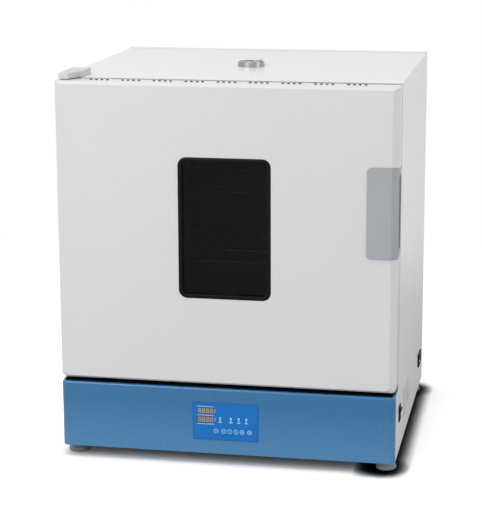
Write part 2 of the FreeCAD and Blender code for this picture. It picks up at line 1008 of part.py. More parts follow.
def shelf(level):
    """Wire shelf: a bent bar frame, two cross bars and wires from front to back."""
    bottom = ridge_height_of(level) + fit_gap
    top = bottom + shelf_bar
    half = half_chamber - liner_sheet - shelf_side_play
    y_low = plug_face_y + glass_thickness + retainer_thickness + shelf_travel + shelf_front_play
    y_high = baffle_y - shelf_back_play
    centre = point(0, (y_low + y_high) / 2, bottom)
    outer = rounded_loop(2 * half, y_high - y_low, (shelf_corner_radius,) * 4, centre, across, inward)
    inner = rounded_loop(
        2 * (half - shelf_bar),
        y_high - y_low - 2 * shelf_bar,
        (shelf_corner_radius - shelf_bar,) * 4,
        centre,
        across,
        inward,
    )
    frame = Part.Face(outer).extrude(upward * shelf_bar).cut(Part.Face(inner).extrude(upward * shelf_bar))
    wire_z = top - shelf_wire_radius - fit_gap
    pieces = [frame]
    for share in (1 / 3, 2 / 3):
        y = y_low + (y_high - y_low) * share
        pieces.append(
            block(
                -half + shelf_bar / 2,
                half - shelf_bar / 2,
                y - shelf_cross_width / 2,
                y + shelf_cross_width / 2,
                wire_z - shelf_cross_height,
                wire_z,
            )
        )
    pitch = 2 * (half - shelf_bar) / (shelf_wire_count + 1)
    for index in range(shelf_wire_count):
        x = -half + shelf_bar + pitch * (index + 1)
        start = point(x, y_low + shelf_bar / 2, wire_z)
        length = y_high - y_low - shelf_bar
        pieces.append(many_sided(start, inward, length, shelf_wire_radius, shelf_wire_sides))
    return fuse_all(pieces)


# Roof vent


def duct_form(radius, z_low, z_high):
    return many_sided(point(0, vent_y, z_low), upward, z_high - z_low, radius, vent_duct_sides)


def vent_duct():
    """Folded duct from the chamber roof to the outer roof, with a flange on the chamber."""
    low = chamber_top + liner_sheet
    duct = duct_form(vent_duct_radius, low, body_top)
    flange = duct_form(vent_flange_radius, low, low + liner_sheet)
    bore = duct_form(vent_duct_radius - vent_duct_wall, low, body_top)
    return duct.fuse(flange).cut(bore).removeSplitter()


def vent_sector(z_low, z_high):
    """A wedge-shaped opening beside the vent's axis, centred on the +X direction."""
    half = math.radians(vent_sector_angle) / 2
    corners = []
    for radius, angle in (
        (vent_sector_inner, -half),
        (vent_sector_outer, -half),
        (vent_sector_outer, -half / 3),
        (vent_sector_outer, half / 3),
        (vent_sector_outer, half),
        (vent_sector_inner, half),
    ):
        corners.append(point(radius * math.cos(angle), vent_y + radius * math.sin(angle), z_low))
    return prism(corners, upward * (z_high - z_low))


def cut_sectors(shape, z_low, z_high):
    for index in range(vent_sector_count):
        opening = vent_sector(z_low, z_high)
        opening.rotate(point(0, vent_y, z_low), upward, 90 + 360.0 * index / vent_sector_count)
        shape = shape.cut(opening)
    return shape


def vent_collar():
    """Chromed ring on the roof with a fixed web that the damper turns on."""
    top = vent_collar_height
    web_low = top - vent_web_drop
    web_high = web_low + vent_web
    bore = vent_collar_radius - vent_collar_wall
    neck = vent_duct_radius - vent_duct_wall
    profile = [
        (0, web_low),
        (neck, web_low),
        (neck, 0),
        (vent_collar_radius, 0),
        (vent_collar_radius - vent_collar_taper, top),
        (bore, top),
        (bore, web_high),
        (0, web_high),
    ]
    collar = turned(profile, point(0, vent_y, body_top))
    collar = collar.cut(rod(point(0, vent_y, body_top), upward, top, damper_pin_radius + hinge_running_gap))
    return cut_sectors(collar, body_top, body_top + top)


def vent_damper():
    """Disc with matching openings, a rivet in the web and a raised tab to turn it by."""
    web_low = body_top + vent_collar_height - vent_web_drop
    low = web_low + vent_web + damper_gap
    disc = rod(point(0, vent_y, low), upward, damper_thickness, damper_radius)
    disc = cut_sectors(disc, low, low + damper_thickness)
    pin_low = web_low - 1
    pin = rod(point(0, vent_y, pin_low), upward, low - pin_low, damper_pin_radius)
    tab_x = damper_radius - damper_tab_thickness * 2
    tab = block(
        tab_x,
        tab_x + damper_tab_thickness,
        vent_y - damper_tab_length / 2,
        vent_y + damper_tab_length / 2,
        low,
        low + damper_tab_height,
    )
    corners = [edge for edge in tab.Edges if abs(edge.CenterOfMass.z - low - damper_tab_height) < 0.01
               and edge.BoundBox.XLength > 0.5 and edge.BoundBox.YLength < 0.1]
    tab = tab.makeFillet(damper_tab_length * 0.35, corners)
    return fuse_all([disc, pin, tab])


# Door


def door_form(inset):
    """Solid form of the door leaf with bevelled front edges, made smaller by an inset."""
    width = body_width - 2 * inset
    height = door_height - 2 * inset
    low_radius = door_bottom_corner_radius - inset
    radii = (low_radius, low_radius, 0, 0)
    front = point(0, front_y + inset, door_middle)
    shoulder = point(0, front_y + bevel_depth + inset * 0.4, door_middle)
    face_loop = rounded_loop(width - 2 * bevel_side, height - 2 * bevel_top, radii, front, across, upward)
    edge_loop = rounded_loop(width, height, radii, shoulder, across, upward)
    nose = Part.makeLoft([face_loop, edge_loop], True, True)
    body = Part.Face(edge_loop).extrude(inward * (door_back_y - shoulder.y))
    return nose.fuse(body).removeSplitter()


def door_outer_skin():
    """Painted pan with bevelled edges, a window cut-out, vent holes and a notch for the handle."""
    skin = door_form(0).cut(door_form(outer_sheet))
    window = facing_plate(
        window_width + gasket_lip,
        window_height + gasket_lip,
        window_corner_radius + gasket_lip / 2,
        0,
        window_middle,
        front_y - 1,
        door_back_y,
    )
    skin = skin.cut(window)
    for x in vent_hole_columns():
        start = point(x, front_y + hole_setback, door_top - 2 * outer_sheet)
        skin = skin.cut(clear_hole(start, upward, 3 * outer_sheet, hole_radius))
    skin = skin.cut(handle_notch(fit_gap))
    for z, direction in ((door_bottom, -1), (door_top, 1)):
        start = point(pivot_x, pivot_y, z - 5)
        skin = skin.cut(rod(start, upward, 10, hinge_collar_radius + fit_gap))
    return skin


def vent_hole_columns():
    columns = []
    for group in range(group_count):
        middle = (group - (group_count - 1) / 2) * group_pitch
        for index in range(holes_in_group):
            columns.append(middle + (index - (holes_in_group - 1) / 2) * hole_pitch)
    return columns


def handle_outline(extra, y_low, y_high):
    """Front outline of the handle, made larger by some extra on every side."""
    width = handle_width + 2 * handle_side_proud
    radii = (handle_corner_radius, handle_edge_radius, handle_edge_radius, handle_corner_radius)
    centre = point(handle_left + width / 2, y_low, handle_middle)
    loop = rounded_loop(width + 2 * extra, handle_height + 2 * extra, radii, centre, across, upward)
    return Part.Face(loop).extrude(inward * (y_high - y_low))


def handle_notch(extra):
    """The part of the door edge that the handle takes the place of."""
    outline = handle_outline(extra, front_y - handle_proud * 2, frame_y)
    keep = block(
        handle_left + handle_front_overlap - extra,
        half_width + bevel_side,
        front_y - handle_proud * 2,
        frame_y,
        door_bottom,
        door_top,
    )
    return outline.common(keep)


def door_handle():
    """Moulded grip that wraps the bevelled edge, with a finger pocket opening to the side."""
    outer_x = half_width + handle_side_proud
    front = front_y - handle_proud
    block_left = handle_left + handle_front_overlap
    block_back = door_back_y - liner_sheet - fit_gap
    lip_back = frame_y - handle_cabinet_gap
    plan = [
        (handle_left, front + 1),
        (handle_left + 1, front),
        (half_width - bevel_side, front),
        (outer_x, front_y + bevel_depth - 1),
        (outer_x, lip_back),
        (outer_x - handle_lip, lip_back),
        (outer_x - handle_lip, block_back),
        (block_left, block_back),
        (block_left, front_y),
        (handle_left, front_y),
    ]
    low = handle_middle - handle_height / 2 - 1
    grip = prism([point(x, y, low) for x, y in plan], upward * (handle_height + 2))
    grip = grip.common(handle_outline(0, front - 1, frame_y))
    pocket_front = front + pocket_front_wall
    pocket_back = block_back - pocket_back_wall
    pocket = side_plate(
        pocket_back - pocket_front,
        pocket_height,
        pocket_end_radius,
        (pocket_front + pocket_back) / 2,
        handle_middle,
        half_width - pocket_reach,
        half_width + 2 * handle_lip,
    )
    return grip.cut(pocket)


def window_tunnel(extra, y_low, y_high):
    """Solid of the window opening, made wider by some extra."""
    return facing_plate(
        window_width + 2 * extra,
        window_height + 2 * extra,
        window_corner_radius + extra,
        0,
        window_middle,
        y_low,
        y_high,
    )


def outer_glass_y():
    """Front face of the outer pane, behind the gasket."""
    return front_y + outer_sheet + gasket_proud + fit_gap


def window_gasket():
    """Rubber profile that grips the cut-out in the skin, with a lip on each side of it."""
    back_lip = front_y + outer_sheet + gasket_proud
    front_lip = window_tunnel(gasket_lip, front_y - gasket_proud, front_y)
    neck = window_tunnel(gasket_lip / 2 - fit_gap, front_y, front_y + outer_sheet)
    rear_lip = window_tunnel(gasket_lip - 1, front_y + outer_sheet, back_lip)
    rim = [edge for edge in front_lip.Edges if abs(edge.CenterOfMass.y - front_y + gasket_proud) < 0.01]
    front_lip = front_lip.makeChamfer(gasket_proud * 0.6, rim)
    ring = fuse_all([front_lip, neck, rear_lip])
    return ring.cut(window_tunnel(0, front_y - 5, door_back_y))


def window_outer_glass():
    y = outer_glass_y()
    return window_tunnel(glass_overlap, y, y + glass_thickness)


def window_inner_glass():
    return window_tunnel(glass_overlap, plug_face_y, plug_face_y + glass_thickness)


def window_inner_frame():
    """Stainless retainer that holds the inner pane against the plug."""
    high = plug_face_y + glass_thickness + retainer_thickness
    outer = window_tunnel(glass_overlap + fit_gap + retainer_thickness, plug_face_y, high)
    pane = window_tunnel(glass_overlap + fit_gap, plug_face_y, plug_face_y + glass_thickness)
    return outer.cut(pane).cut(window_tunnel(glass_overlap - retainer_width, plug_face_y, high))


def plug_form(inset, y_low, y_high):
    """The raised part of the door liner that enters the chamber mouth."""
    return facing_plate(
        chamber_width - 2 * plug_clearance - 2 * inset,
        chamber_height - 2 * plug_clearance - 2 * inset,
        plug_corner_radius - inset,
        0,
        chamber_middle,
        y_low,
        y_high,
    )


def door_inner_liner():
    """Inner pan of the door, with a raised plug and a tunnel round the window."""
    half = inner_half - fit_gap
    low = door_bottom + outer_sheet + fit_gap
    high = door_top - outer_sheet - fit_gap
    radii = (door_bottom_corner_radius, door_bottom_corner_radius, fit_gap, fit_gap)
    start = point(0, door_back_y - liner_return, (low + high) / 2)
    loop = rounded_loop(2 * half, high - low, radii, start, across, upward)
    pan = Part.Face(loop).extrude(inward * liner_return)
    inner = block(
        -half + liner_sheet,
        half - liner_sheet,
        front_y,
        door_back_y - liner_sheet,
        low + liner_sheet,
        high - liner_sheet,
    )
    pan = pan.cut(inner)
    plug = plug_form(0, door_back_y - liner_sheet, plug_face_y)
    hollow = plug_form(liner_sheet, front_y, plug_face_y - liner_sheet)
    liner = pan.fuse(plug).cut(hollow)
    tunnel_start = outer_glass_y() + glass_thickness + fit_gap
    tube = window_tunnel(tunnel_clearance + liner_sheet, tunnel_start, plug_face_y)
    liner = liner.fuse(tube).cut(window_tunnel(tunnel_clearance, front_y, back_y)).removeSplitter()
    clear = handle_outline(fit_gap, front_y, frame_y).common(
        block(
            half_width - handle_lip - 2 * fit_gap, half_width, front_y, frame_y, door_bottom, door_top
        )
    )
    liner = liner.cut(clear)
    grip_room = handle_notch(fit_gap).common(
        block(0, half_width, front_y, door_back_y - liner_sheet, door_bottom, door_top)
    )
    liner = liner.cut(grip_room)
    for low_z, high_z in hinge_block_spans():
        liner = liner.cut(hinge_block_form(fit_gap, low_z, high_z))
    return liner


def door_insulation():
    """Mineral wool inside the door, cut out round the window, the handle and the hinge blocks."""
    gap = liner_sheet + 2 * fit_gap
    half = inner_half - gap
    wool = block(
        -half,
        half,
        front_y + bevel_depth + outer_sheet,
        door_back_y - liner_sheet - fit_gap,
        door_bottom + door_bottom_corner_radius,
        door_top - outer_sheet - gap,
    )
    plug = facing_plate(
        chamber_width - 2 * (plug_clearance + plug_corner_radius),
        chamber_height - 2 * (plug_clearance + plug_corner_radius),
        0,
        0,
        chamber_middle,
        door_back_y - 2 * liner_sheet,
        plug_face_y - liner_sheet - fit_gap,
    )
    wool = wool.fuse(plug).removeSplitter()
    room = window_corner_radius + glass_overlap
    opening = facing_plate(
        window_width + 2 * room, window_height + 2 * room, 0, 0, window_middle, front_y, plug_face_y
    )
    wool = wool.cut(opening)
    wool = wool.cut(handle_notch(wool_gap))
    for low, high in hinge_block_spans():
        wool = wool.cut(hinge_block_form(wool_gap, low, high))
    return wool


def door_seal():
    """Silicone ring between the door and the front frame, bevelled where it meets the frame."""
    face = frame_y - fit_gap
    outer = seal_form(seal_offset + seal_width, face)
    inner = seal_form(seal_offset, face)
    ring = outer.cut(inner)
    rims = [edge for edge in ring.Edges if abs(edge.CenterOfMass.y - face) < 0.01]
    return ring.makeChamfer(seal_bevel, rims)


def seal_form(extra, face):
    return facing_plate(
        chamber_width + 2 * extra,
        chamber_height + 2 * extra,
        chamber_corner_radius + extra,
        0,
        chamber_middle,
        door_back_y,
        face,
    )


def catch_blocks(y_low, y_high):
    """Two flat blocks on the closing side, one above the other."""
    x = half_chamber + seal_offset + seal_width + magnet_offset
    blocks = []
    for level in (-1, 1):
        z = chamber_middle + level * magnet_spacing / 2
        blocks.append(
            block(
                x, x + magnet_width, y_low, y_high, z - magnet_length / 2, z + magnet_length / 2
            )
        )
    return Part.makeCompound(blocks)


def door_magnets():
    return catch_blocks(frame_y - magnet_thickness, frame_y)


def magnet_strikes():
    return catch_blocks(door_back_y, frame_y - magnet_thickness - magnet_gap)


# Hinges


def hinge_block_spans():
    """Lowest and highest points of the two hinge blocks inside the door."""
    reach = hinge_pin_reach + 2
    low = door_bottom + outer_sheet + fit_gap
    high = door_top - outer_sheet - fit_gap
    return [(low, low + reach), (high - reach, high)]


def hinge_block_form(extra, low, high):
    half = hinge_block_side / 2 + extra
    back = min(half, door_back_y - liner_sheet - fit_gap + extra - pivot_y)
    return block(
        pivot_x - half, pivot_x + half, pivot_y - half, pivot_y + back, low - extra, high + extra
    )


def hinge_bushes():
    """Two nylon blocks in the door corners, each with a collar through the skin and a pin bore."""
    bushes = []
    (low, low_top), (high_bottom, high) = hinge_block_spans()
    plates = (base_top + hinge_plate_thickness + fit_gap, body_top - fit_gap)
    for span, plate, collar_low, collar_high in (
        ((low, low_top), plates[0], plates[0], low),
        ((high_bottom, high), plates[1], high, plates[1]),
    ):
        body = hinge_block_form(0, *span).common(door_form(outer_sheet + fit_gap))
        collar = rod(
            point(pivot_x, pivot_y, collar_low), upward, collar_high - collar_low, hinge_collar_radius
        )
        bush = body.fuse(collar).removeSplitter()
        bore_low = min(span[0], collar_low)
        bore_length = max(span[1], collar_high) - bore_low
        bore = rod(
            point(pivot_x, pivot_y, bore_low), upward, bore_length, hinge_pin_radius + hinge_running_gap
        )
        bushes.append(bush.cut(bore))
    return Part.makeCompound(bushes)


def hinge_pins():
    """Two steel pins, one standing on the lower plate and one hanging from the upper plate."""
    low_plate_top = base_top + hinge_plate_thickness
    lower = rod(
        point(pivot_x, pivot_y, low_plate_top), upward, door_bottom + hinge_pin_reach - low_plate_top,
        hinge_pin_radius,
    )
    upper_low = door_top - hinge_pin_reach
    upper = rod(point(pivot_x, pivot_y, upper_low), upward, body_top - upper_low, hinge_pin_radius)
    return Part.makeCompound([lower, upper])


def cover_outline(inset, z):
    """Plan of the top hinge cover: a narrow nose over the pivot that widens to the back."""
    left = -half_width + cover_side_inset + inset
    right = -half_width + cover_side_inset + cover_width - inset
    front = pivot_y - cover_nose + inset
    back = pivot_y - cover_nose + cover_length - inset
    nose = left + cover_flat_front - inset
    slant = front + cover_chamfer_length
    corners = [(left, front), (nose, front), (right, slant), (right, back), (left, back)]
    return [point(x, y, z) for x, y in corners]


def top_hinge_plate():
    """Steel plate on the roof that reaches forward over the door and holds the upper pin."""
    return prism(cover_outline(cover_wall + 1, body_top), upward * hinge_plate_thickness)


def top_hinge_cover():
    """Plastic cap over the top hinge plate."""
    outer = prism(cover_outline(0, body_top + fit_gap), upward * (cover_height - fit_gap))
    crown = [edge for edge in outer.Edges if abs(edge.CenterOfMass.z - body_top - cover_height) < 0.01]
    outer = outer.makeFillet(cover_wall * 0.75, crown)
    return outer.cut(prism(cover_outline(cover_wall, body_top), upward * (cover_height - cover_wall)))


def bottom_hinge_plate():
    """Steel plate on the ledge of the base, in the gap under the door."""
    left = -half_width + cover_side_inset
    corners = [
        (left, pivot_y - cover_nose),
        (left + cover_flat_front, pivot_y - cover_nose),
        (left + cover_width * 1.5, frame_y - 2 * fit_gap - 12),
        (left + cover_width * 1.5, frame_y - 2 * fit_gap),
        (left, frame_y - 2 * fit_gap),
    ]
    return prism([point(x, y, base_top) for x, y in corners], upward * hinge_plate_thickness)


# Keypad


def display_x():
    return -overlay_width / 2 + display_inset + display_width / 2


def display_rows():
    upper = overlay_top - display_drop - display_height / 2
    return [upper, upper - display_pitch]


def key_columns():
    inner = [(index - 1.5) * key_inner_pitch for index in range(4)]
    outer = 1.5 * key_inner_pitch + key_outer_pitch
    return [key_row_offset + x for x in [-outer] + inner + [outer]]


def keypad_overlay():
    """Thin face plate with windows for the displays and a round hole for each key."""
    back = front_y
    front = front_y - overlay_thickness
    plate = facing_plate(
        overlay_width, overlay_height, overlay_corner_radius, 0, base_middle, front, back
    )
    for z in display_rows():
        plate = plate.cut(
            facing_plate(
                display_width + 2 * fit_gap, display_height + 2 * fit_gap, 0, display_x(), z, front, back
            )
        )
    for x in key_columns():
        start = point(x, front, key_row_z)
        plate = plate.cut(
            many_sided(start, inward, overlay_thickness, key_radius + key_hole_gap, key_cap_sides)
        )
    return plate


def led_displays():
    """Two four-digit display modules, one above the other, seated on the board."""
    modules = []
    for z in display_rows():
        modules.append(
            facing_plate(
                display_width,
                display_height,
                0,
                display_x(),
                z,
                front_y - overlay_thickness + display_recess,
                board_front_y,
            )
        )
    return Part.makeCompound(modules)


def control_board():
    """Circuit board on posts behind the panel, with a small switch behind each key."""
    board = block(
        -board_width / 2,
        board_width / 2,
        board_front_y,
        board_front_y + board_thickness,
        base_middle - board_height / 2,
        base_middle + board_height / 2,
    )
    pieces = [board]
    for side in (-1, 1):
        for level in (-1, 1):
            start = point(
                side * (board_width / 2 - standoff_radius * 2),
                front_y + outer_sheet,
                base_middle + level * (board_height / 2 - standoff_radius * 2),
            )
            pieces.append(many_sided(start, inward, board_standoff, standoff_radius, post_sides))
    half = tact_switch_side / 2
    for x in key_columns():
        pieces.append(
            block(
                x - half, x + half, tact_face_y(), board_front_y, key_row_z - half, key_row_z + half
            )
        )
    return fuse_all(pieces)


def tact_face_y():
    """Front of the small switches on the board, which the key stems press."""
    return front_y + outer_sheet + key_switch_drop + key_travel


def key(x):
    """Round key cap with a stem through the panel."""
    cap_back = front_y - key_travel - key_stop_gap
    cap_front = front_y - overlay_thickness - key_proud
    cap = many_sided(
        point(x, cap_front, key_row_z), inward, cap_back - cap_front, key_radius, key_cap_sides
    )
    stem_end = tact_face_y() - key_travel - key_stop_gap
    stem = many_sided(
        point(x, cap_back, key_row_z), inward, stem_end - cap_back, key_stem_radius, key_stem_sides
    )
    return cap.fuse(stem).removeSplitter()


# Right side fittings


def switch_place():
    return side_place(switch_setback), base_bottom + switch_rise


def power_switch_frame():
    """Bezel and body of the rocker switch, open at the front for the rocker."""
    y, z = switch_place()
    bezel = side_plate(
        bezel_width, bezel_height, 0, y, z, half_width, half_width + bezel_thickness
    )
    rim = [edge for edge in bezel.Edges if abs(edge.CenterOfMass.x - half_width - bezel_thickness) < 0.01]
    bezel = bezel.makeChamfer(bezel_bevel, rim)
    body_width_y = bezel_width - 2 * switch_wall - 2 * fit_gap
    body_height_z = bezel_height - 2 * switch_wall - 2 * fit_gap
    body = side_plate(
        body_width_y, body_height_z, 0, y, z, half_width - switch_body_depth, half_width
    )
    frame = bezel.fuse(body).removeSplitter()
    well = side_plate(
        rocker_width() + 2 * rocker_gap,
        2 * (rocker_half_length + rocker_end_gap),
        0,
        y,
        z,
        half_width - rocker_pivot_depth - rocker_root - rocker_floor_gap,
        half_width + bezel_thickness,
    )
    return frame.cut(well)


def rocker_width():
    return bezel_width - 4 * switch_wall


def power_switch_rocker():
    """Rocker with a shallow V face, tilted to its off position."""
    y, z = switch_place()
    pivot_at = point(half_width - rocker_pivot_depth, y - rocker_width() / 2, z)
    outline = [
        (-rocker_root, -rocker_half_length * 0.45),
        (0, -rocker_half_length),
        (rocker_crown, -rocker_half_length),
        (rocker_waist, 0),
        (rocker_crown, rocker_half_length),
        (0, rocker_half_length),
        (-rocker_root, rocker_half_length * 0.45),
    ]
    corners = [pivot_at + point(x, 0, height) for x, height in outline]
    rocker = prism(corners, inward * rocker_width())
    rocker.rotate(pivot_at, inward, rocker_tilt)
    return rocker


def service_hatch():
    """Raised cover plate of the service hatch, with chamfered edges and a finger notch."""
    y = side_place(hatch_setback)
    z = base_bottom + hatch_rise
    plate = side_plate(hatch_width, hatch_height, 0, y, z, half_width, half_width + hatch_thickness)
    rim = [edge for edge in plate.Edges if abs(edge.CenterOfMass.x - half_width - hatch_thickness) < 0.01]
    plate = plate.makeChamfer(hatch_bevel, rim)
    notch_x = half_width + hatch_thickness - hatch_notch_depth
    notch_z = z - hatch_height / 2 + hatch_notch_rise
    notch = side_plate(
        hatch_notch_width, hatch_notch_height, 0, y, notch_z, notch_x, half_width + hatch_thickness
    )
    return plate.cut(notch)


def side_hole_cap():
    """Domed cap pressed into a round hole in the side."""
    y = side_place(cap_setback)
    z = base_bottom + cap_rise
    profile = [
        (0, 0),
        (cap_radius, 0),
        (cap_radius, cap_rim),
        (cap_radius - cap_dome, cap_dome),
        (0, cap_dome),
    ]
    cap = turned(profile, point(0, 0, 0))
    cap.rotate(point(0, 0, 0), inward, 90)
    cap.translate(point(half_width, y, z))
    start = point(half_width - cap_stem_length, y, z)
    stem = many_sided(start, across, cap_stem_length, cap_stem_radius, cap_stem_sides)
    return fuse_all([cap, stem])


def power_inlet():
    """Appliance inlet with a flange, a keyed socket and three flat pins."""
    y = back_y - inlet_back_inset
    z = base_bottom + inlet_rise
    flange = side_plate(inlet_width, inlet_height, 0, y, z, half_width, half_width + inlet_flange)
    rim = [edge for edge in flange.Edges if abs(edge.CenterOfMass.x - half_width - inlet_flange) < 0.01]
    flange = flange.makeChamfer(inlet_bevel, rim)
    body = side_plate(
        inlet_body_width, inlet_body_height, 0, y, z, half_width - inlet_body_depth, half_width
    )
    inlet = flange.fuse(body).removeSplitter()
    floor_x = half_width + inlet_flange - inlet_socket_depth
    half_y = inlet_socket_width / 2
    half_z = inlet_socket_height / 2
    outline = [
        (-half_y, -half_z),
        (half_y, -half_z),
        (half_y, half_z - inlet_key_cut),
        (half_y - inlet_key_cut, half_z),
        (-half_y + inlet_key_cut, half_z),
        (-half_y, half_z - inlet_key_cut),
    ]
    socket = prism([point(floor_x, y + dy, z + dz) for dy, dz in outline], across * inlet_socket_depth)
    inlet = inlet.cut(socket)
    pins = []
    pin_length = inlet_socket_depth - inlet_pin_recess
    for offset, level in (
        (-inlet_pin_spacing, -inlet_pin_drop),
        (0, inlet_pin_drop),
        (inlet_pin_spacing, -inlet_pin_drop),
    ):
        pins.append(
            block(
                floor_x - inlet_pin_thickness,
                floor_x + pin_length,
                y + offset - inlet_pin_thickness / 2,
                y + offset + inlet_pin_thickness / 2,
                z + level - inlet_pin_width / 2,
                z + level + inlet_pin_width / 2,
            )
        )
    return fuse_all([inlet] + pins)


def solid_state_relay():
    """Relay on a finned heat sink, standing on the pan of the base."""
    floor = base_bottom + outer_sheet
    left = -sink_offset - sink_width / 2
    plate_low = floor + sink_fin_height
    plate = block(
        left, left + sink_width, -sink_depth / 2, sink_depth / 2, plate_low, plate_low + sink_plate
    )
    pieces = [plate]
    pitch = (sink_width - sink_fin_thickness) / (sink_fin_count - 1)
    for index in range(sink_fin_count):
        x = left + index * pitch
        pieces.append(
            block(x, x + sink_fin_thickness, -sink_depth / 2, sink_depth / 2, floor, plate_low)
        )
    relay = block(
        -sink_offset - relay_width / 2,
        -sink_offset + relay_width / 2,
        -relay_length / 2,
        relay_length / 2,
        plate_low + sink_plate,
        plate_low + sink_plate + relay_height,
    )
    pieces.append(relay)
    return fuse_all(pieces)


def all_pieces():
    pieces = {
        "outer_shell": outer_shell(),
        "base_pan": base_pan(),
        "insulation_tray": insulation_tray(),
        "rear_partition": rear_partition(),
        "front_frame": front_frame(),
        "inner_chamber": inner_chamber(),
        "insulation": insulation(),
        "base_front_panel": base_front_panel(),
        "back_cover": back_cover(),
        "rear_air_baffle": rear_air_baffle(),
        "fan_wheel": fan_wheel(),
        "fan_shaft": fan_shaft(),
        "motor_bracket": motor_bracket(),
        "fan_motor": fan_motor(),
        "heater_element": heater_element(),
        "temperature_sensor": temperature_sensor(),
        "shelf_guide_left": shelf_guide(-1),
        "shelf_guide_right": shelf_guide(1),
        "shelf_lower": shelf(lower_shelf_level),
        "shelf_upper": shelf(upper_shelf_level),
        "vent_duct": vent_duct(),
        "vent_collar": vent_collar(),
        "vent_damper": vent_damper(),
        "door_outer_skin": door_outer_skin(),
        "door_inner_liner": door_inner_liner(),
        "door_insulation": door_insulation(),
        "door_handle": door_handle(),
        "door_seal": door_seal(),
        "window_gasket": window_gasket(),
        "window_outer_glass": window_outer_glass(),
        "window_inner_glass": window_inner_glass(),
        "window_inner_frame": window_inner_frame(),
        "door_magnets": door_magnets(),
        "magnet_strikes": magnet_strikes(),
        "hinge_bushes": hinge_bushes(),
        "hinge_pins": hinge_pins(),
        "top_hinge_plate": top_hinge_plate(),
        "top_hinge_cover": top_hinge_cover(),
        "bottom_hinge_plate": bottom_hinge_plate(),
        "keypad_overlay": keypad_overlay(),
        "led_displays": led_displays(),
        "control_board": control_board(),
        "power_switch_frame": power_switch_frame(),
        "power_switch_rocker": power_switch_rocker(),
        "service_hatch": service_hatch(),
        "side_hole_cap": side_hole_cap(),
        "power_inlet": power_inlet(),
        "solid_state_relay": solid_state_relay(),
        "rubber_feet": rubber_feet(),
    }
    key_names = ("key_set", "key_shift", "key_down", "key_up", "key_timer", "key_run")
    for name, x in zip(key_names, key_columns()):
        pieces[name] = key(x)
    return pieces


os.makedirs("parts", exist_ok=True)
for name, shape in all_pieces().items():
    shape.exportStep("parts/" + name + ".step")
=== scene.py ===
import json
import math

import bmesh
import bpy
from mathutils import Matrix, Vector


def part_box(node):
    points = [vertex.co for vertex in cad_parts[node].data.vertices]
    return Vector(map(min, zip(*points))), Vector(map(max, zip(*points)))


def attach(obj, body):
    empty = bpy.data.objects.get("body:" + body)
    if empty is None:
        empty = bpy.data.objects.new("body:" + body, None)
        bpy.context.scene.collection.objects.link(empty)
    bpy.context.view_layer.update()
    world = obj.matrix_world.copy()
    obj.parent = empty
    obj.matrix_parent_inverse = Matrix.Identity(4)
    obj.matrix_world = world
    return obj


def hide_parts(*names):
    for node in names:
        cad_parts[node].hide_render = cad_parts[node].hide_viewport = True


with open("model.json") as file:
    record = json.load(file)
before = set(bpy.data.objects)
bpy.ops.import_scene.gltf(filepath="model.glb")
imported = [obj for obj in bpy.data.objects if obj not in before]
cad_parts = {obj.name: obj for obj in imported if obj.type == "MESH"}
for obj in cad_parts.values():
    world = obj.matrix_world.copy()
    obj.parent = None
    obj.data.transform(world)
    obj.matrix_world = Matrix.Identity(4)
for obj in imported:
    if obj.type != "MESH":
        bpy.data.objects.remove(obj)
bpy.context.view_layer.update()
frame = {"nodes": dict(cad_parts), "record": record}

# Finish and small fittings of a bench drying oven. Lengths are metres, the front faces -Y.

nodes = frame["nodes"]
MM = 0.001

# Kinds of input that a shader group or a geometry tree has
NUMBER = "NodeSocketFloat"
COUNT = "NodeSocketInt"
VECTOR = "NodeSocketVector"

# Camera, as the photograph was taken
camera_place = (0.6156, -3.3024, 1.1220)
camera_azimuth = 10.956
camera_elevation = 12.067
camera_roll = -0.253
image_height = 505
focal_pixels = 1711.9
optical_row = 226
sensor_size = 36.0

# Room
floor_half = 12.0
shadow_zone = 1.0
shadow_fade = 0.9
# Painted contact shadow on the floor: how far it reaches, and how deep it is in front and beside the right
# side
painted_shadow_reach = 0.036
painted_shadow_depth_front = 0.6
painted_shadow_depth_side = 10.0
side_shadow_start = 0.24
side_shadow_full = 0.29
floor_lift = 0.7
bounced_grey = (0.72, 0.72, 0.72, 1)
white = (1, 1, 1, 1)
black = (0, 0, 0, 1)
surround_light = 0.5
lamp_tint = (1.0, 0.995, 0.985)
lamp_target = Vector((0, 0, 0.4))

# Heights between which the base goes from its painted reflection of the bright floor to its main colour
painted_reflection_full = 0.03
painted_reflection_end = 0.12

# Edges of the finished pieces
fine_edge = 0.4 * MM
sheet_edge = 0.7 * MM
moulded_edge = 2.2 * MM
weld_distance = 0.001 * MM
flat_angle = math.radians(0.6)
rounding_angle = math.radians(28)
turned_smooth_angle = math.radians(35)
grown_smooth_angle = math.radians(38)
right_angle = math.radians(90)


def srgb(red, green, blue):
    """A colour given as it looks on a screen, from 0 to 255, as linear values."""
    linear = []
    for level in (red, green, blue):
        share = level / 255
        linear.append(share / 12.92 if share <= 0.04045 else ((share + 0.055) / 1.055) ** 2.4)
    return (*linear, 1.0)


def tinted(colour, factor):
    return (*(min(1.0, level * factor) for level in colour[:3]), 1.0)


# Shader helpers


def feed(tree, socket, value):
    """Links a socket or writes a plain value into another socket."""
    if isinstance(value, bpy.types.NodeSocket):
        tree.links.new(value, socket)
    else:
        socket.default_value = value


def feed_all(tree, node, given):
    """Feeds several inputs of a node, by name or by place."""
    for key, value in given.items():
        feed(tree, node.inputs[key], value)


def add(tree, kind, given=None, **settings):
    """A new node with its settings and with what goes into its inputs."""
    node = tree.nodes.new(kind)
    for key, value in settings.items():
        setattr(node, key, value)
    feed_all(tree, node, given or {})
    return node


def found(tree, kind):
    """The node of one kind that a new tree already has."""
    return next(node for node in tree.nodes if node.type == kind)


def socket_name(key):
    """The name of a socket for a keyword: corner_steps gives Corner Steps."""
    return key.replace("_", " ").title()


def object_place(tree):
    return add(tree, "ShaderNodeTexCoord").outputs["Object"]


def maths(tree, operation, first, second=0.0):
    return add(tree, "ShaderNodeMath", {0: first, 1: second}, operation=operation).outputs[0]


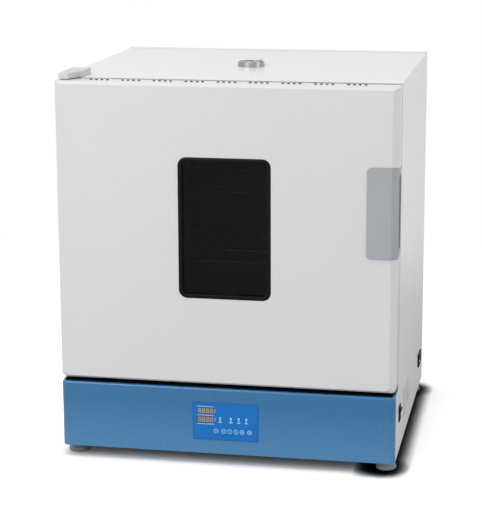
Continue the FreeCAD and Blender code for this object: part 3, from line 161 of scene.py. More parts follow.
def mixed(tree, factor, first, second):
    """One colour where the mask is 0, another where it is 1."""
    return add(tree, "ShaderNodeMix", {"Factor": factor, 6: first, 7: second}, data_type="RGBA").outputs[2]


def spread(tree, value, low, high, from_low=0.0, from_high=1.0):
    """Maps one range of values onto another."""
    given = {"Value": value, "From Min": from_low, "From Max": from_high, "To Min": low, "To Max": high}
    return add(tree, "ShaderNodeMapRange", given).outputs["Result"]


def noise(tree, vector, scale, detail=2.0, roughness=0.5):
    given = {"Vector": vector, "Scale": scale, "Detail": detail, "Roughness": roughness}
    return add(tree, "ShaderNodeTexNoise", given).outputs["Fac"]


def effect_group(name, inputs, outputs):
    """An empty shader group. It gives the tree, its input sockets and its output node."""
    tree = bpy.data.node_groups.new(name, "ShaderNodeTree")
    for socket, kind, value in inputs:
        made = tree.interface.new_socket(socket, in_out="INPUT", socket_type=kind)
        made.default_value = value
    for socket, kind in outputs:
        tree.interface.new_socket(socket, in_out="OUTPUT", socket_type=kind)
    return tree, add(tree, "NodeGroupInput").outputs, add(tree, "NodeGroupOutput")


def build_edge_wear():
    """Mask of the worn outer edges, broken up by a fine pattern, and the softened normal."""
    tree, given, end = effect_group(
        "edge_wear",
        [("Radius", NUMBER, 0.001), ("Gain", NUMBER, 4.0)],
        [("Mask", NUMBER), ("Normal", VECTOR)],
    )
    softened = add(tree, "ShaderNodeBevel", {"Radius": given["Radius"]}, samples=4).outputs["Normal"]
    flat = add(tree, "ShaderNodeNewGeometry").outputs["Normal"]
    facing = add(tree, "ShaderNodeVectorMath", {0: softened, 1: flat}, operation="DOT_PRODUCT")
    turned_away = maths(tree, "SUBTRACT", 1.0, facing.outputs["Value"])
    raised = maths(tree, "MULTIPLY", turned_away, given["Gain"])
    speckle = noise(tree, object_place(tree), scale=220.0, detail=4.0)
    broken = maths(tree, "MULTIPLY", raised, spread(tree, speckle, 0.0, 1.0, from_low=0.42, from_high=0.66))
    feed_all(tree, end, {"Mask": maths(tree, "MINIMUM", broken, 1.0), "Normal": softened})
    return tree


def build_surface_grain():
    """Fine relief, broad change of tone and smudges on a sprayed or moulded surface."""
    tree, given, end = effect_group(
        "surface_grain",
        [("Grain", NUMBER, 400.0), ("Patch", NUMBER, 4.0)],
        [("Height", NUMBER), ("Tone", NUMBER), ("Smudge", NUMBER)],
    )
    coordinate = object_place(tree)
    wide = noise(tree, coordinate, scale=11.0, detail=6.0, roughness=0.62)
    feed_all(tree, end, {
        "Height": noise(tree, coordinate, given["Grain"], detail=3.0),
        "Tone": noise(tree, coordinate, given["Patch"]),
        "Smudge": spread(tree, wide, 0.0, 1.0, from_low=0.44, from_high=0.7),
    })
    return tree


def build_brushed_lines():
    """Long fine scratches along one axis, by stretching a noise over the others."""
    tree, given, end = effect_group(
        "brushed_lines",
        [("Stretch", VECTOR, (4.0, 900.0, 900.0))],
        [("Lines", NUMBER), ("Tone", NUMBER)],
    )
    coordinate = object_place(tree)
    scaled = add(tree, "ShaderNodeVectorMath", {0: coordinate, 1: given["Stretch"]}, operation="MULTIPLY")
    feed_all(tree, end, {
        "Lines": noise(tree, scaled.outputs[0], scale=1.0, detail=3.0, roughness=0.6),
        "Tone": noise(tree, coordinate, scale=6.0, detail=3.0),
    })
    return tree


def build_zinc_spangle():
    """The crystal pattern of galvanised sheet: cells of slightly different grey."""
    tree, given, end = effect_group(
        "zinc_spangle",
        [("Size", NUMBER, 90.0)],
        [("Cell", NUMBER), ("Bloom", NUMBER)],
    )
    coordinate = object_place(tree)
    cells = add(tree, "ShaderNodeTexVoronoi", {"Vector": coordinate, "Scale": given["Size"]})
    grey = add(tree, "ShaderNodeRGBToBW", {"Color": cells.outputs["Color"]})
    bloom = noise(tree, coordinate, scale=25.0, detail=5.0)
    feed_all(tree, end, {"Cell": grey.outputs["Val"], "Bloom": bloom})
    return tree


edge_wear = build_edge_wear()
surface_grain = build_surface_grain()
brushed_lines = build_brushed_lines()
zinc_spangle = build_zinc_spangle()


def place_group(tree, group, **values):
    node = add(tree, "ShaderNodeGroup", node_tree=group)
    feed_all(tree, node, {socket_name(name): value for name, value in values.items()})
    return node.outputs


def new_finish(name, **shader_values):
    """An empty material with its principled shader and the plain values that are the same all over."""
    finish = bpy.data.materials.new(name)
    finish.use_nodes = True
    tree = finish.node_tree
    shader = found(tree, "BSDF_PRINCIPLED")
    feed_all(tree, shader, {key.replace("_", " "): value for key, value in shader_values.items()})
    return finish, tree, shader


def set_relief(tree, shader, height, strength, distance, normal=None):
    """Fine relief on a surface, over its softened edges if it has them."""
    given = {"Strength": strength, "Distance": distance, "Height": height}
    if normal is not None:
        given["Normal"] = normal
    feed(tree, shader.inputs["Normal"], add(tree, "ShaderNodeBump", given).outputs["Normal"])


def painted_steel(name, colour, gloss=0.32, coat=0.12, painted_reflection_colour=None):
    """Sprayed and baked enamel on sheet: slight orange peel, faint tone patches, rubbed edges.

    With a painted reflection colour, the enamel takes on that colour towards the foot of the base: a painted
    reflection of the bright floor."""
    finish, tree, shader = new_finish(name, Coat_Roughness=0.12, Specular_IOR_Level=0.45)
    grain = place_group(tree, surface_grain, grain=520.0, patch=3.2)
    wear = place_group(tree, edge_wear, radius=0.0012, gain=3.0)
    body = mixed(tree, grain["Tone"], tinted(colour, 0.98), tinted(colour, 1.02))
    # Painted reflection: the enamel turns lighter towards the foot of the base, where the bright floor would
    # be mirrored
    if painted_reflection_colour:
        height = add(tree, "ShaderNodeSeparateXYZ", {0: object_place(tree)}).outputs["Z"]
        rise = spread(tree, height, 0.0, 1.0, painted_reflection_full, painted_reflection_end)
        body = mixed(tree, rise, painted_reflection_colour, body)
    feed(tree, shader.inputs["Base Color"], mixed(tree, wear["Mask"], body, tinted(colour, 1.12)))
    dull = spread(tree, grain["Smudge"], gloss, gloss + 0.04)
    rubbed = maths(tree, "MULTIPLY", wear["Mask"], 0.1)
    feed(tree, shader.inputs["Roughness"], maths(tree, "ADD", dull, rubbed))
    feed(tree, shader.inputs["Coat Weight"], spread(tree, grain["Smudge"], coat, coat * 0.92))
    set_relief(tree, shader, grain["Height"], strength=0.10, distance=0.0004, normal=wear["Normal"])
    return finish


def moulded_plastic(name, colour, rough=0.42, relief=0.16, grain_scale=1400.0, shine=0.45):
    """Injection-moulded plastic with a fine spark-eroded texture and slightly polished edges."""
    finish, tree, shader = new_finish(name, Specular_IOR_Level=shine)
    grain = place_group(tree, surface_grain, grain=grain_scale, patch=9.0)
    wear = place_group(tree, edge_wear, radius=0.0009, gain=3.0)
    body = mixed(tree, grain["Tone"], tinted(colour, 0.95), tinted(colour, 1.05))
    feed(tree, shader.inputs["Base Color"], mixed(tree, wear["Mask"], body, tinted(colour, 1.22)))
    dull = spread(tree, grain["Smudge"], rough, rough + 0.12)
    polished = maths(tree, "MULTIPLY", wear["Mask"], 0.1)
    feed(tree, shader.inputs["Roughness"], maths(tree, "SUBTRACT", dull, polished))
    set_relief(tree, shader, grain["Height"], strength=relief, distance=0.0002, normal=wear["Normal"])
    return finish


def soft_rubber(name, colour, rough=0.62, shine=0.35):
    """Rubber or silicone with a bloom that comes and goes."""
    finish, tree, shader = new_finish(name, Specular_IOR_Level=shine)
    grain = place_group(tree, surface_grain, grain=900.0, patch=30.0)
    wear = place_group(tree, edge_wear, radius=0.0008, gain=4.0)
    bloom = mixed(tree, grain["Smudge"], tinted(colour, 0.9), tinted(colour, 1.25))
    feed(tree, shader.inputs["Base Color"], mixed(tree, wear["Mask"], bloom, tinted(colour, 1.7)))
    feed(tree, shader.inputs["Roughness"], spread(tree, grain["Tone"], rough - 0.08, rough + 0.12))
    set_relief(tree, shader, grain["Height"], strength=0.25, distance=0.0003, normal=wear["Normal"])
    return finish


def brushed_metal(name, colour, stretch, rough=0.3, relief=0.12):
    """Metal with a ground grain along one direction and slow changes of brightness."""
    finish, tree, shader = new_finish(name, Metallic=1.0)
    lines = place_group(tree, brushed_lines, stretch=stretch)
    wear = place_group(tree, edge_wear, radius=0.0008, gain=3.0)
    ground = mixed(tree, lines["Lines"], tinted(colour, 0.82), tinted(colour, 1.12))
    body = mixed(tree, lines["Tone"], tinted(colour, 0.9), ground)
    feed(tree, shader.inputs["Base Color"], mixed(tree, wear["Mask"], body, tinted(colour, 1.3)))
    feed(tree, shader.inputs["Roughness"], spread(tree, lines["Lines"], rough - 0.07, rough + 0.1))
    set_relief(tree, shader, lines["Lines"], strength=relief, distance=0.0002, normal=wear["Normal"])
    return finish


def galvanised(name):
    """Zinc-coated sheet with its spangle and white bloom."""
    finish, tree, shader = new_finish(name)
    zinc = place_group(tree, zinc_spangle, size=110.0)
    wear = place_group(tree, edge_wear, radius=0.0008, gain=3.0)
    cell = mixed(tree, zinc["Cell"], srgb(150, 154, 157), srgb(190, 193, 195))
    feed(tree, shader.inputs["Base Color"], mixed(tree, wear["Mask"], cell, srgb(212, 214, 215)))
    feed(tree, shader.inputs["Metallic"], spread(tree, zinc["Bloom"], 1.0, 0.7, from_low=0.4, from_high=0.7))
    feed(tree, shader.inputs["Roughness"], spread(tree, zinc["Cell"], 0.38, 0.55))
    set_relief(tree, shader, zinc["Bloom"], strength=0.12, distance=0.0003, normal=wear["Normal"])
    return finish


def heated_steel(name):
    """Heater sheath: dull oxide with straw and blue temper colours along it."""
    finish, tree, shader = new_finish(name, Metallic=1.0)
    grain = place_group(tree, surface_grain, grain=700.0, patch=22.0)
    temper = mixed(tree, grain["Tone"], srgb(96, 78, 62), srgb(72, 78, 96))
    feed(tree, shader.inputs["Base Color"], mixed(tree, grain["Smudge"], temper, srgb(70, 66, 62)))
    feed(tree, shader.inputs["Roughness"], spread(tree, grain["Smudge"], 0.4, 0.62))
    set_relief(tree, shader, grain["Height"], strength=0.2, distance=0.0003)
    return finish


def wool_fibre(name):
    """Mineral wool: matted fibres in two yellows."""
    finish, tree, shader = new_finish(name, Sheen_Weight=0.3, Specular_IOR_Level=0.1)
    lines = place_group(tree, brushed_lines, stretch=(60.0, 420.0, 300.0))
    matted = mixed(tree, lines["Lines"], srgb(176, 160, 112), srgb(226, 214, 172))
    feed(tree, shader.inputs["Base Color"], matted)
    feed(tree, shader.inputs["Roughness"], spread(tree, lines["Tone"], 0.85, 1.0))
    set_relief(tree, shader, lines["Lines"], strength=0.8, distance=0.002)
    return finish


def window_pane(name, tint, bending):
    """Toughened glass. It is plain glass whose surface has faint smudges."""
    finish, tree, shader = new_finish(name, Transmission_Weight=1.0, IOR=bending)
    grain = place_group(tree, surface_grain, grain=60.0, patch=5.0)
    body = mixed(tree, grain["Tone"], tinted(tint, 0.92), tinted(tint, 1.08))
    feed(tree, shader.inputs["Base Color"], body)
    feed(tree, shader.inputs["Roughness"], spread(tree, grain["Smudge"], 0.0, 0.04))
    return finish


def glossy_film(name, colour, gloss=0.16):
    """Printed polyester film with a soft gloss and a barely uneven surface."""
    finish, tree, shader = new_finish(name, Coat_Roughness=0.1, Specular_IOR_Level=0.3)
    grain = place_group(tree, surface_grain, grain=180.0, patch=14.0)
    wear = place_group(tree, edge_wear, radius=0.0005, gain=3.0)
    body = mixed(tree, grain["Tone"], tinted(colour, 0.95), tinted(colour, 1.05))
    feed(tree, shader.inputs["Base Color"], mixed(tree, wear["Mask"], body, tinted(colour, 1.3)))
    feed(tree, shader.inputs["Roughness"], spread(tree, grain["Smudge"], gloss, gloss + 0.12))
    feed(tree, shader.inputs["Coat Weight"], spread(tree, grain["Tone"], 0.02, 0.1))
    set_relief(tree, shader, grain["Height"], strength=0.06, distance=0.0002, normal=wear["Normal"])
    return finish


def solder_mask(name):
    """Green board with a faint weave of glass cloth under the lacquer."""
    finish, tree, shader = new_finish(name, Coat_Roughness=0.15)
    lines = place_group(tree, brushed_lines, stretch=(900.0, 40.0, 900.0))
    feed(tree, shader.inputs["Base Color"], mixed(tree, lines["Lines"], srgb(18, 74, 42), srgb(34, 104, 60)))
    feed(tree, shader.inputs["Roughness"], spread(tree, lines["Tone"], 0.28, 0.42))
    set_relief(tree, shader, lines["Lines"], strength=0.1, distance=0.0001)
    return finish


cabinet_white = srgb(236, 236, 238)
door_white = srgb(228, 228, 229)
base_blue = srgb(34, 114, 167)
# Lighter blue at the foot of the base, a painted reflection of the floor
base_blue_painted_reflection = srgb(72, 138, 188)
keypad_blue = srgb(8, 120, 204)
glass_bending = 1.2
print_cyan = srgb(186, 246, 255)
print_pale = srgb(226, 238, 244)

# How finely a metal is scratched along X, Y and Z
lines_across = (4.0, 700.0, 900.0)
lines_back = (500.0, 20.0, 500.0)
even_lines = (60.0, 60.0, 60.0)

finishes = {
    "cabinet_paint": painted_steel("cabinet_enamel", cabinet_white, gloss=0.34),
    "door_paint": painted_steel("door_enamel", door_white, gloss=0.36),
    # The blue base is lighter towards its foot: a painted reflection of the bright floor
    "base_blue_paint": painted_steel(
        "base_blue_enamel", base_blue, gloss=0.26, coat=0.7, painted_reflection_colour=base_blue_painted_reflection
    ),
    "galvanised_sheet": galvanised("galvanised_steel"),
    "stainless_sheet": brushed_metal("brushed_stainless", srgb(206, 206, 204), lines_across, rough=0.28),
    "bright_steel": brushed_metal(
        "bright_plating", srgb(214, 214, 216), even_lines, rough=0.16, relief=0.03
    ),
    "fan_aluminium": brushed_metal("rolled_aluminium", srgb(208, 210, 212), lines_back, rough=0.34),
    "heater_sheath": heated_steel("heat_tinted_sheath"),
    "mineral_wool": wool_fibre("mineral_wool_mat"),
    "black_rubber": soft_rubber("gasket_rubber", srgb(8, 8, 9), rough=0.26, shine=0.14),
    "silicone_grey": soft_rubber("seal_silicone", srgb(176, 176, 172), rough=0.5),
    "window_glass": window_pane("clear_pane", srgb(226, 236, 230), glass_bending),
    "handle_plastic": moulded_plastic("grip_plastic", srgb(174, 178, 184), rough=0.44),
    "pale_plastic": moulded_plastic("pale_moulding", srgb(216, 216, 215), rough=0.46),
    "black_plastic": moulded_plastic("black_moulding", srgb(9, 9, 10), rough=0.4, shine=0.08),
    "keypad_film": glossy_film("keypad_blue_film", keypad_blue),
    "key_plastic": glossy_film("key_blue_film", tinted(keypad_blue, 1.06), gloss=0.2),
    "display_window": glossy_film("display_smoke", srgb(100, 94, 93), gloss=0.2),
    "circuit_board": solder_mask("circuit_board_green"),
    "nylon_white": moulded_plastic("nylon_bush", srgb(226, 224, 214), rough=0.5),
    "motor_steel": painted_steel("motor_lacquer", srgb(70, 72, 76), gloss=0.5),
    "magnet_ferrite": moulded_plastic("ferrite", srgb(50, 50, 52), rough=0.6, relief=0.3),
    "relay_plastic": moulded_plastic("relay_case", srgb(38, 38, 42), rough=0.4),
}
# Dead black foam: painted shade in the gap under the door and inside the door's vent holes
painted_shade_foam = soft_rubber("painted_shade_foam", srgb(6, 6, 7), rough=0.9, shine=0.05)
vent_plating = brushed_metal("vent_plating", srgb(160, 161, 164), even_lines, rough=0.24, relief=0.03)
foot_grey = soft_rubber("foot_rubber_grey", srgb(136, 148, 156), rough=0.5)
smoked_pane = window_pane("smoked_pane", srgb(84, 100, 94), glass_bending)
ink_cyan = glossy_film("print_cyan", print_cyan, gloss=0.3)
ink_pale = glossy_film("print_pale", print_pale, gloss=0.3)
ink_dark = glossy_film("print_dark_blue", tinted(keypad_blue, 0.5), gloss=0.3)
digit_lens = glossy_film("digit_segments", srgb(222, 212, 208), gloss=0.3)

# Nodes whose finish is not the usual one of their slot
own_finishes = {"vent_collar": vent_plating, "vent_damper": vent_plating}


# Mesh helpers


def scene_object(name, data):
    """A new object in the scene."""
    made = bpy.data.objects.new(name, data)
    bpy.context.scene.collection.objects.link(made)
    return made


def join_body(piece, body, replaced=()):
    """Makes a piece ride its body, and hides the nodes that it stands for."""
    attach(piece, body)
    if replaced:
        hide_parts(*replaced)


def new_piece(name, build, body, slot, finish=None, *replaced):
    """A piece whose mesh is made by a function that fills a bmesh."""
    shape = bmesh.new()
    build(shape)
    bmesh.ops.recalc_face_normals(shape, faces=shape.faces)
    mesh = bpy.data.meshes.new(name)
    shape.to_mesh(mesh)
    shape.free()
    mesh.shade_smooth()
    mesh.set_sharp_from_angle(angle=turned_smooth_angle)
    mesh.materials.append(finish or finishes[slot])
    join_body(scene_object(name, mesh), body, replaced)


def settled(piece):
    """Turns an object's modifiers into plain mesh and removes them."""
    bpy.context.view_layer.update()
    view = bpy.context.evaluated_depsgraph_get()
    mesh = bpy.data.meshes.new_from_object(piece.evaluated_get(view), depsgraph=view)
    piece.modifiers.clear()
    piece.data = mesh
    return mesh


def welded_copy(node, name):
    """A copy of a node's triangles, merged into a closed shape with flat faces made whole."""
    mesh = nodes[node].data.copy()
    mesh.name = name
    for attribute in ("custom_normal", "sharp_face", "sharp_edge"):
        old = mesh.attributes.get(attribute)
        if old:
            mesh.attributes.remove(old)
    shape = bmesh.new()
    shape.from_mesh(mesh)
    bmesh.ops.remove_doubles(shape, verts=shape.verts, dist=weld_distance)
    bmesh.ops.dissolve_limit(
        shape, angle_limit=flat_angle, use_dissolve_boundaries=False, verts=shape.verts, edges=shape.edges
    )
    shape.to_mesh(mesh)
    shape.free()
    return mesh


def rounded_node(node, name, body, slot, edge, segments):
    """Stands for a node with the same form, whose sharp edges are really rounded."""
    mesh = welded_copy(node, name)
    mesh.materials.clear()
    mesh.materials.append(own_finishes.get(node, finishes[slot]))
    mesh.shade_smooth()
    piece = scene_object(name, mesh)
    bevel = piece.modifiers.new("rounding", "BEVEL")
    bevel.width = edge
    bevel.segments = segments
    bevel.limit_method = "ANGLE"
    bevel.angle_limit = rounding_angle
    bevel.use_clamp_overlap = True
    bevel.harden_normals = True
    settled(piece)
    join_body(piece, body, (node,))


def lathe(shape, profile, centre, axis, steps):
    """Turns (radius, height) points about an axis through a centre; end points on the axis close it."""
    frame_of_axis = Vector(axis).to_track_quat("Z", "Y").to_matrix()
    rings = []
    for radius, height in profile:
        if radius == 0:
            rings.append([shape.verts.new(centre + frame_of_axis @ Vector((0, 0, height)))])
            continue
        ring = []
        for step in range(steps):
            angle = 2 * math.pi * step / steps
            offset = Vector((radius * math.cos(angle), radius * math.sin(angle), height))
            ring.append(shape.verts.new(centre + frame_of_axis @ offset))
        rings.append(ring)
    for low, high in zip(rings, rings[1:]):
        for step in range(steps):
            following = (step + 1) % steps
            corners = [low[step % len(low)], low[following % len(low)]]
            corners += [high[following % len(high)], high[step % len(high)]]
            unique = list(dict.fromkeys(corners))
            shape.faces.new(unique)


def arc_profile(centre_radius, centre_height, size, start, end, steps=6):
    """Points on a quarter-like arc of a profile, between two angles in degrees."""
    points = []
    for step in range(steps + 1):
        angle = math.radians(start + (end - start) * step / steps)
        points.append((centre_radius + size * math.cos(angle), centre_height + size * math.sin(angle)))
    return points


def slab(shape, corners, thickness, direction):
    """A flat shape with these corners, made solid along a direction."""
    near = [shape.verts.new(corner) for corner in corners]
    far = [shape.verts.new(corner + direction * thickness) for corner in corners]
    shape.faces.new(near)
    shape.faces.new(far[::-1])
    for index in range(len(corners)):
        following = (index + 1) % len(corners)
        shape.faces.new([near[index], far[index], far[following], near[following]])


# Geometry trees for what repeats or follows a path


def growth_tree(name, **inputs):
    """A geometry tree with named inputs. It gives the tree, its input sockets and its output node."""
    tree = bpy.data.node_groups.new(name, "GeometryNodeTree")
    sockets = [("Geometry", "INPUT", "NodeSocketGeometry")]
    sockets += [(socket_name(key), "INPUT", kind) for key, kind in inputs.items()]
    sockets += [("Finish", "INPUT", "NodeSocketMaterial"), ("Geometry", "OUTPUT", "NodeSocketGeometry")]
    for socket, side, kind in sockets:
        tree.interface.new_socket(socket, in_out=side, socket_type=kind)
    return tree, add(tree, "NodeGroupInput").outputs, add(tree, "NodeGroupOutput")


def close_tree(tree, given, end, geometry):
    """Ends a tree in real geometry with its material."""
    real = add(tree, "GeometryNodeRealizeInstances", {0: geometry})
    smooth = add(tree, "GeometryNodeSetShadeSmooth", {0: real.outputs[0]})
    coloured = add(tree, "GeometryNodeSetMaterial", {0: smooth.outputs[0], "Material": given["Finish"]})
    feed(tree, end.inputs[0], coloured.outputs[0])
    return tree


def grown(name, tree, seed_mesh, body, slot, finish=None, replaced=(), **sizes):
    """Runs a geometry tree on a small seed mesh and keeps the result as a plain piece."""
    piece = scene_object(name, seed_mesh)
    grower = piece.modifiers.new("growth", "NODES")
    grower.node_group = tree
    given = {socket_name(key): value for key, value in sizes.items()}
    given["Finish"] = finish or finishes[slot]
    for socket in tree.interface.items_tree:
        if socket.in_out == "INPUT" and socket.name in given:
            grower[socket.identifier] = given[socket.name]
    mesh = settled(piece)
    mesh.set_sharp_from_angle(angle=grown_smooth_angle)
    join_body(piece, body, replaced)


def rounded_path(tree, width, height, radius, steps):
    """A flat rectangle of curve with rounded corners."""
    path = add(tree, "GeometryNodeCurvePrimitiveQuadrilateral", {"Width": width, "Height": height})
    corners = {"Curve": path.outputs[0], "Radius": radius, "Count": steps}
    return add(tree, "GeometryNodeFilletCurve", corners, mode="POLY").outputs[0]


def swept_along(tree, path, outline):
    return add(tree, "GeometryNodeCurveToMesh", {"Curve": path, "Profile Curve": outline}).outputs[0]


def moved(tree, geometry, **change):
    """Geometry that is turned by a rotation or moved by a translation."""
    given = {socket_name(key): value for key, value in change.items()}
    return add(tree, "GeometryNodeTransform", {"Geometry": geometry, **given}).outputs[0]


def cut_away(tree, whole, tool):
    """The whole without what lies in the tool."""
    meshes = {"Mesh 1": whole, "Mesh 2": tool}
    return add(tree, "GeometryNodeMeshBoolean", meshes, operation="DIFFERENCE").outputs["Mesh"]


def copies(tree, points, instance, **turn):
    """The same piece on every point."""
    given = {"Points": points, "Instance": instance}
    given.update((socket_name(key), value) for key, value in turn.items())
    return add(tree, "GeometryNodeInstanceOnPoints", given).outputs["Instances"]


def build_frame_sweep():
    """Sweeps the seed's closed outline round an upright rectangle with rounded corners."""
    tree, given, end = growth_tree(
        "frame_sweep", width=NUMBER, height=NUMBER, corner_radius=NUMBER, corner_steps=COUNT, centre=VECTOR
    )
    path = rounded_path(tree, given["Width"], given["Height"], given["Corner Radius"], given["Corner Steps"])
    upright = add(tree, "GeometryNodeSetCurveNormal", {0: path}, mode="Z_UP")
    outline = add(tree, "GeometryNodeMeshToCurve", {0: given["Geometry"]})
    swept = swept_along(tree, upright.outputs[0], outline.outputs[0])
    standing = moved(tree, swept, rotation=(right_angle, 0, 0), translation=given["Centre"])
    return close_tree(tree, given, end, standing)


def outline_mesh(name, points):
    """A closed loop of edges in the XY plane, used as the outline of a sweep."""
    mesh = bpy.data.meshes.new(name)
    count = len(points)
    edges = [(index, (index + 1) % count) for index in range(count)]
    mesh.from_pydata([(x, y, 0) for x, y in points], edges, [])
    return mesh


def build_screw_field():
    """Puts a cross-slotted pan head on each seed vertex, turned to the vertex's facing vector."""
    head_sides = 20
    crown_share = 0.66
    slot_height_share = 0.9
    tree, given, end = growth_tree("screw_field", head_radius=NUMBER, head_height=NUMBER, slot_width=NUMBER)
    radius = given["Head Radius"]
    height = given["Head Height"]
    head = add(tree, "GeometryNodeMeshCone", {
        "Vertices": head_sides, "Radius Bottom": radius, "Depth": height,
        "Radius Top": maths(tree, "MULTIPLY", radius, crown_share),
    })
    slots = add(tree, "GeometryNodeJoinGeometry")
    lift = add(tree, "ShaderNodeCombineXYZ", {2: maths(tree, "MULTIPLY", height, slot_height_share)})
    for long_axis in (0, 1):
        sides = {long_axis: radius, 1 - long_axis: given["Slot Width"], 2: height}
        size = add(tree, "ShaderNodeCombineXYZ", sides)
        block = add(tree, "GeometryNodeMeshCube", {"Size": size.outputs[0]})
        raised = moved(tree, block.outputs["Mesh"], translation=lift.outputs[0])
        feed(tree, slots.inputs[0], raised)
    recessed = cut_away(tree, head.outputs["Mesh"], slots.outputs[0])
    facing = add(tree, "GeometryNodeInputNamedAttribute", {"Name": "facing"}, data_type="FLOAT_VECTOR")
    turn = add(tree, "FunctionNodeAlignRotationToVector", {"Vector": facing.outputs["Attribute"]}, axis="Z")
    fitted = copies(tree, given["Geometry"], recessed, rotation=turn.outputs["Rotation"])
    return close_tree(tree, given, end, fitted)


def build_grommet_field():
    """Puts a short soft tube, a little narrower at its rim, upright on each seed vertex."""
    tube_sides = 18
    bore_sides = 12
    rim_share = 0.84
    bore_reach = 3.0
    tree, given, end = growth_tree("grommet_field", outer_radius=NUMBER, bore_radius=NUMBER, height=NUMBER)
    radius = given["Outer Radius"]
    height = given["Height"]
    tube = add(tree, "GeometryNodeMeshCone", {
        "Vertices": tube_sides, "Radius Bottom": radius, "Depth": height,
        "Radius Top": maths(tree, "MULTIPLY", radius, rim_share),
    })
    bore = add(tree, "GeometryNodeMeshCylinder", {
        "Vertices": bore_sides, "Radius": given["Bore Radius"],
        "Depth": maths(tree, "MULTIPLY", height, bore_reach),
    })
    hollow = cut_away(tree, tube.outputs["Mesh"], bore.outputs["Mesh"])
    return close_tree(tree, given, end, copies(tree, given["Geometry"], hollow))


def build_wire_shelf():
    """A shelf of round bar: a rectangular frame, cross bars and evenly spaced long wires."""
    corner_steps = 6
    rim_sides = 12
    wire_sides = 8
    cross_bars = 2
    cross_thickness = 1.3
    cross_overlap = 0.8
    tree, given, end = growth_tree(
        "wire_shelf", width=NUMBER, depth=NUMBER, corner_radius=NUMBER, bar_radius=NUMBER,
        wire_radius=NUMBER, wire_count=COUNT, wire_rise=NUMBER, centre=VECTOR,
    )
    width = given["Width"]
    depth = given["Depth"]
    radius = given["Wire Radius"]
    path = rounded_path(tree, width, depth, given["Corner Radius"], corner_steps)
    ring = add(tree, "GeometryNodeCurvePrimitiveCircle", {
        "Resolution": rim_sides, "Radius": given["Bar Radius"],
    })
    rim = swept_along(tree, path, ring.outputs[0])

    def bars(count, along, spacing_total, length, thick, rise, quarter_turn):
        """Evenly spaced round bars inside the frame, each a capped cylinder."""
        size = {"Vertices": wire_sides, "Radius": thick, "Depth": length}
        rod = add(tree, "GeometryNodeMeshCylinder", size)
        laid = moved(tree, rod.outputs["Mesh"], rotation=quarter_turn)
        pitch = maths(tree, "DIVIDE", spacing_total, maths(tree, "ADD", count, 1.0))
        first = maths(tree, "SUBTRACT", pitch, maths(tree, "MULTIPLY", spacing_total, 0.5))
        origin = add(tree, "ShaderNodeCombineXYZ", {along: first, 2: rise})
        step = add(tree, "ShaderNodeCombineXYZ", {along: pitch})
        row = {"Count": count, "Start Location": origin.outputs[0], "Offset": step.outputs[0]}
        line = add(tree, "GeometryNodeMeshLine", row, mode="OFFSET")
        return copies(tree, line.outputs[0], laid)

    rise = given["Wire Rise"]
    wires = bars(given["Wire Count"], 0, width, depth, radius, rise, (right_angle, 0, 0))
    thick = maths(tree, "MULTIPLY", radius, cross_thickness)
    drop = maths(tree, "ADD", radius, maths(tree, "MULTIPLY", thick, cross_overlap))
    below = maths(tree, "SUBTRACT", rise, drop)
    crosses = bars(cross_bars, 1, depth, width, thick, below, (0, right_angle, 0))
    joined = add(tree, "GeometryNodeJoinGeometry")
    for part in (rim, wires, crosses):
        feed(tree, joined.inputs[0], part)
    return close_tree(tree, given, end, moved(tree, joined.outputs[0], translation=given["Centre"]))


frame_sweep = build_frame_sweep()
screw_field = build_screw_field()
grommet_field = build_grommet_field()
wire_shelf = build_wire_shelf()


# Cabinet and door


def finish_plain_nodes():
    """Every node gets its finish; those that a better piece stands for are hidden later."""
    slot_of = {part["node"]: part["material_slot"] for part in frame["record"]["subparts"]}
    for name, node in nodes.items():
        for place in node.material_slots:
            place.material = finishes[slot_of[name]]
    nodes["window_outer_glass"].material_slots[0].material = smoked_pane


def make_sheet_pieces():
    """Sheet and moulded parts: how wide and in how many steps their edges are rounded."""
    for node, name, body, slot, edge, segments in (
        ("outer_shell", "cabinet_wrapper", "cabinet", "cabinet_paint", fine_edge, 3),
        ("base_front_panel", "base_front", "cabinet", "base_blue_paint", fine_edge, 3),
        ("back_cover", "rear_sheet", "cabinet", "cabinet_paint", fine_edge, 2),
        ("door_outer_skin", "door_pan", "door", "door_paint", sheet_edge, 3),
        ("door_inner_liner", "door_liner", "door", "stainless_sheet", fine_edge, 2),
        ("door_handle", "door_grip", "door", "handle_plastic", moulded_edge, 4),
        ("top_hinge_cover", "hinge_cap", "cabinet", "pale_plastic", fine_edge, 3),
        ("service_hatch", "side_hatch", "cabinet", "pale_plastic", fine_edge, 3),
        ("power_inlet", "appliance_inlet", "cabinet", "black_plastic", fine_edge, 2),
        ("power_switch_frame", "switch_bezel", "cabinet", "black_plastic", fine_edge, 2),
        ("vent_collar", "vent_ring", "cabinet", "bright_steel", fine_edge, 2),
        ("vent_damper", "vent_disc", "vent_damper_body", "bright_steel", fine_edge, 2),
    ):
        rounded_node(node, name, body, slot, edge, segments)


def make_gasket():
    """Window gasket: an H-shaped rubber profile with a round front lip."""
    low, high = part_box("window_gasket")
    skin_low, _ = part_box("door_outer_skin")
    lip = 8 * MM
    sheet = 1.5 * MM
    groove = lip / 2 - 0.3 * MM
    rear_lip = lip - MM
    crown_start = 1.2 * MM
    crown_end = lip * 0.6
    inner_round = 0.3 * MM
    outer_round = 0.9 * MM
    front = low.y
    plane = skin_low.y
    shoulder_share = 0.343
    shoulder = front + (plane - front) * shoulder_share
    profile = [
        (0.0, high.y), (0.0, plane - 0.2 * MM), (inner_round, front + 0.5 * MM), (crown_start, front),
        (crown_end, front), (lip - outer_round, shoulder), (lip, plane - 0.15 * MM), (lip, plane),
        (groove, plane), (groove, plane + sheet), (rear_lip, plane + sheet), (rear_lip, high.y),
    ]
    seed = outline_mesh("gasket_outline", profile)
    grown(
        "window_rubber", frame_sweep, seed, "door", "black_rubber", replaced=["window_gasket"],
        width=high.x - low.x - 2 * lip, height=high.z - low.z - 2 * lip,
        corner_radius=8 * MM, corner_steps=8,
        centre=((low.x + high.x) / 2, 0, (low.z + high.z) / 2),
    )


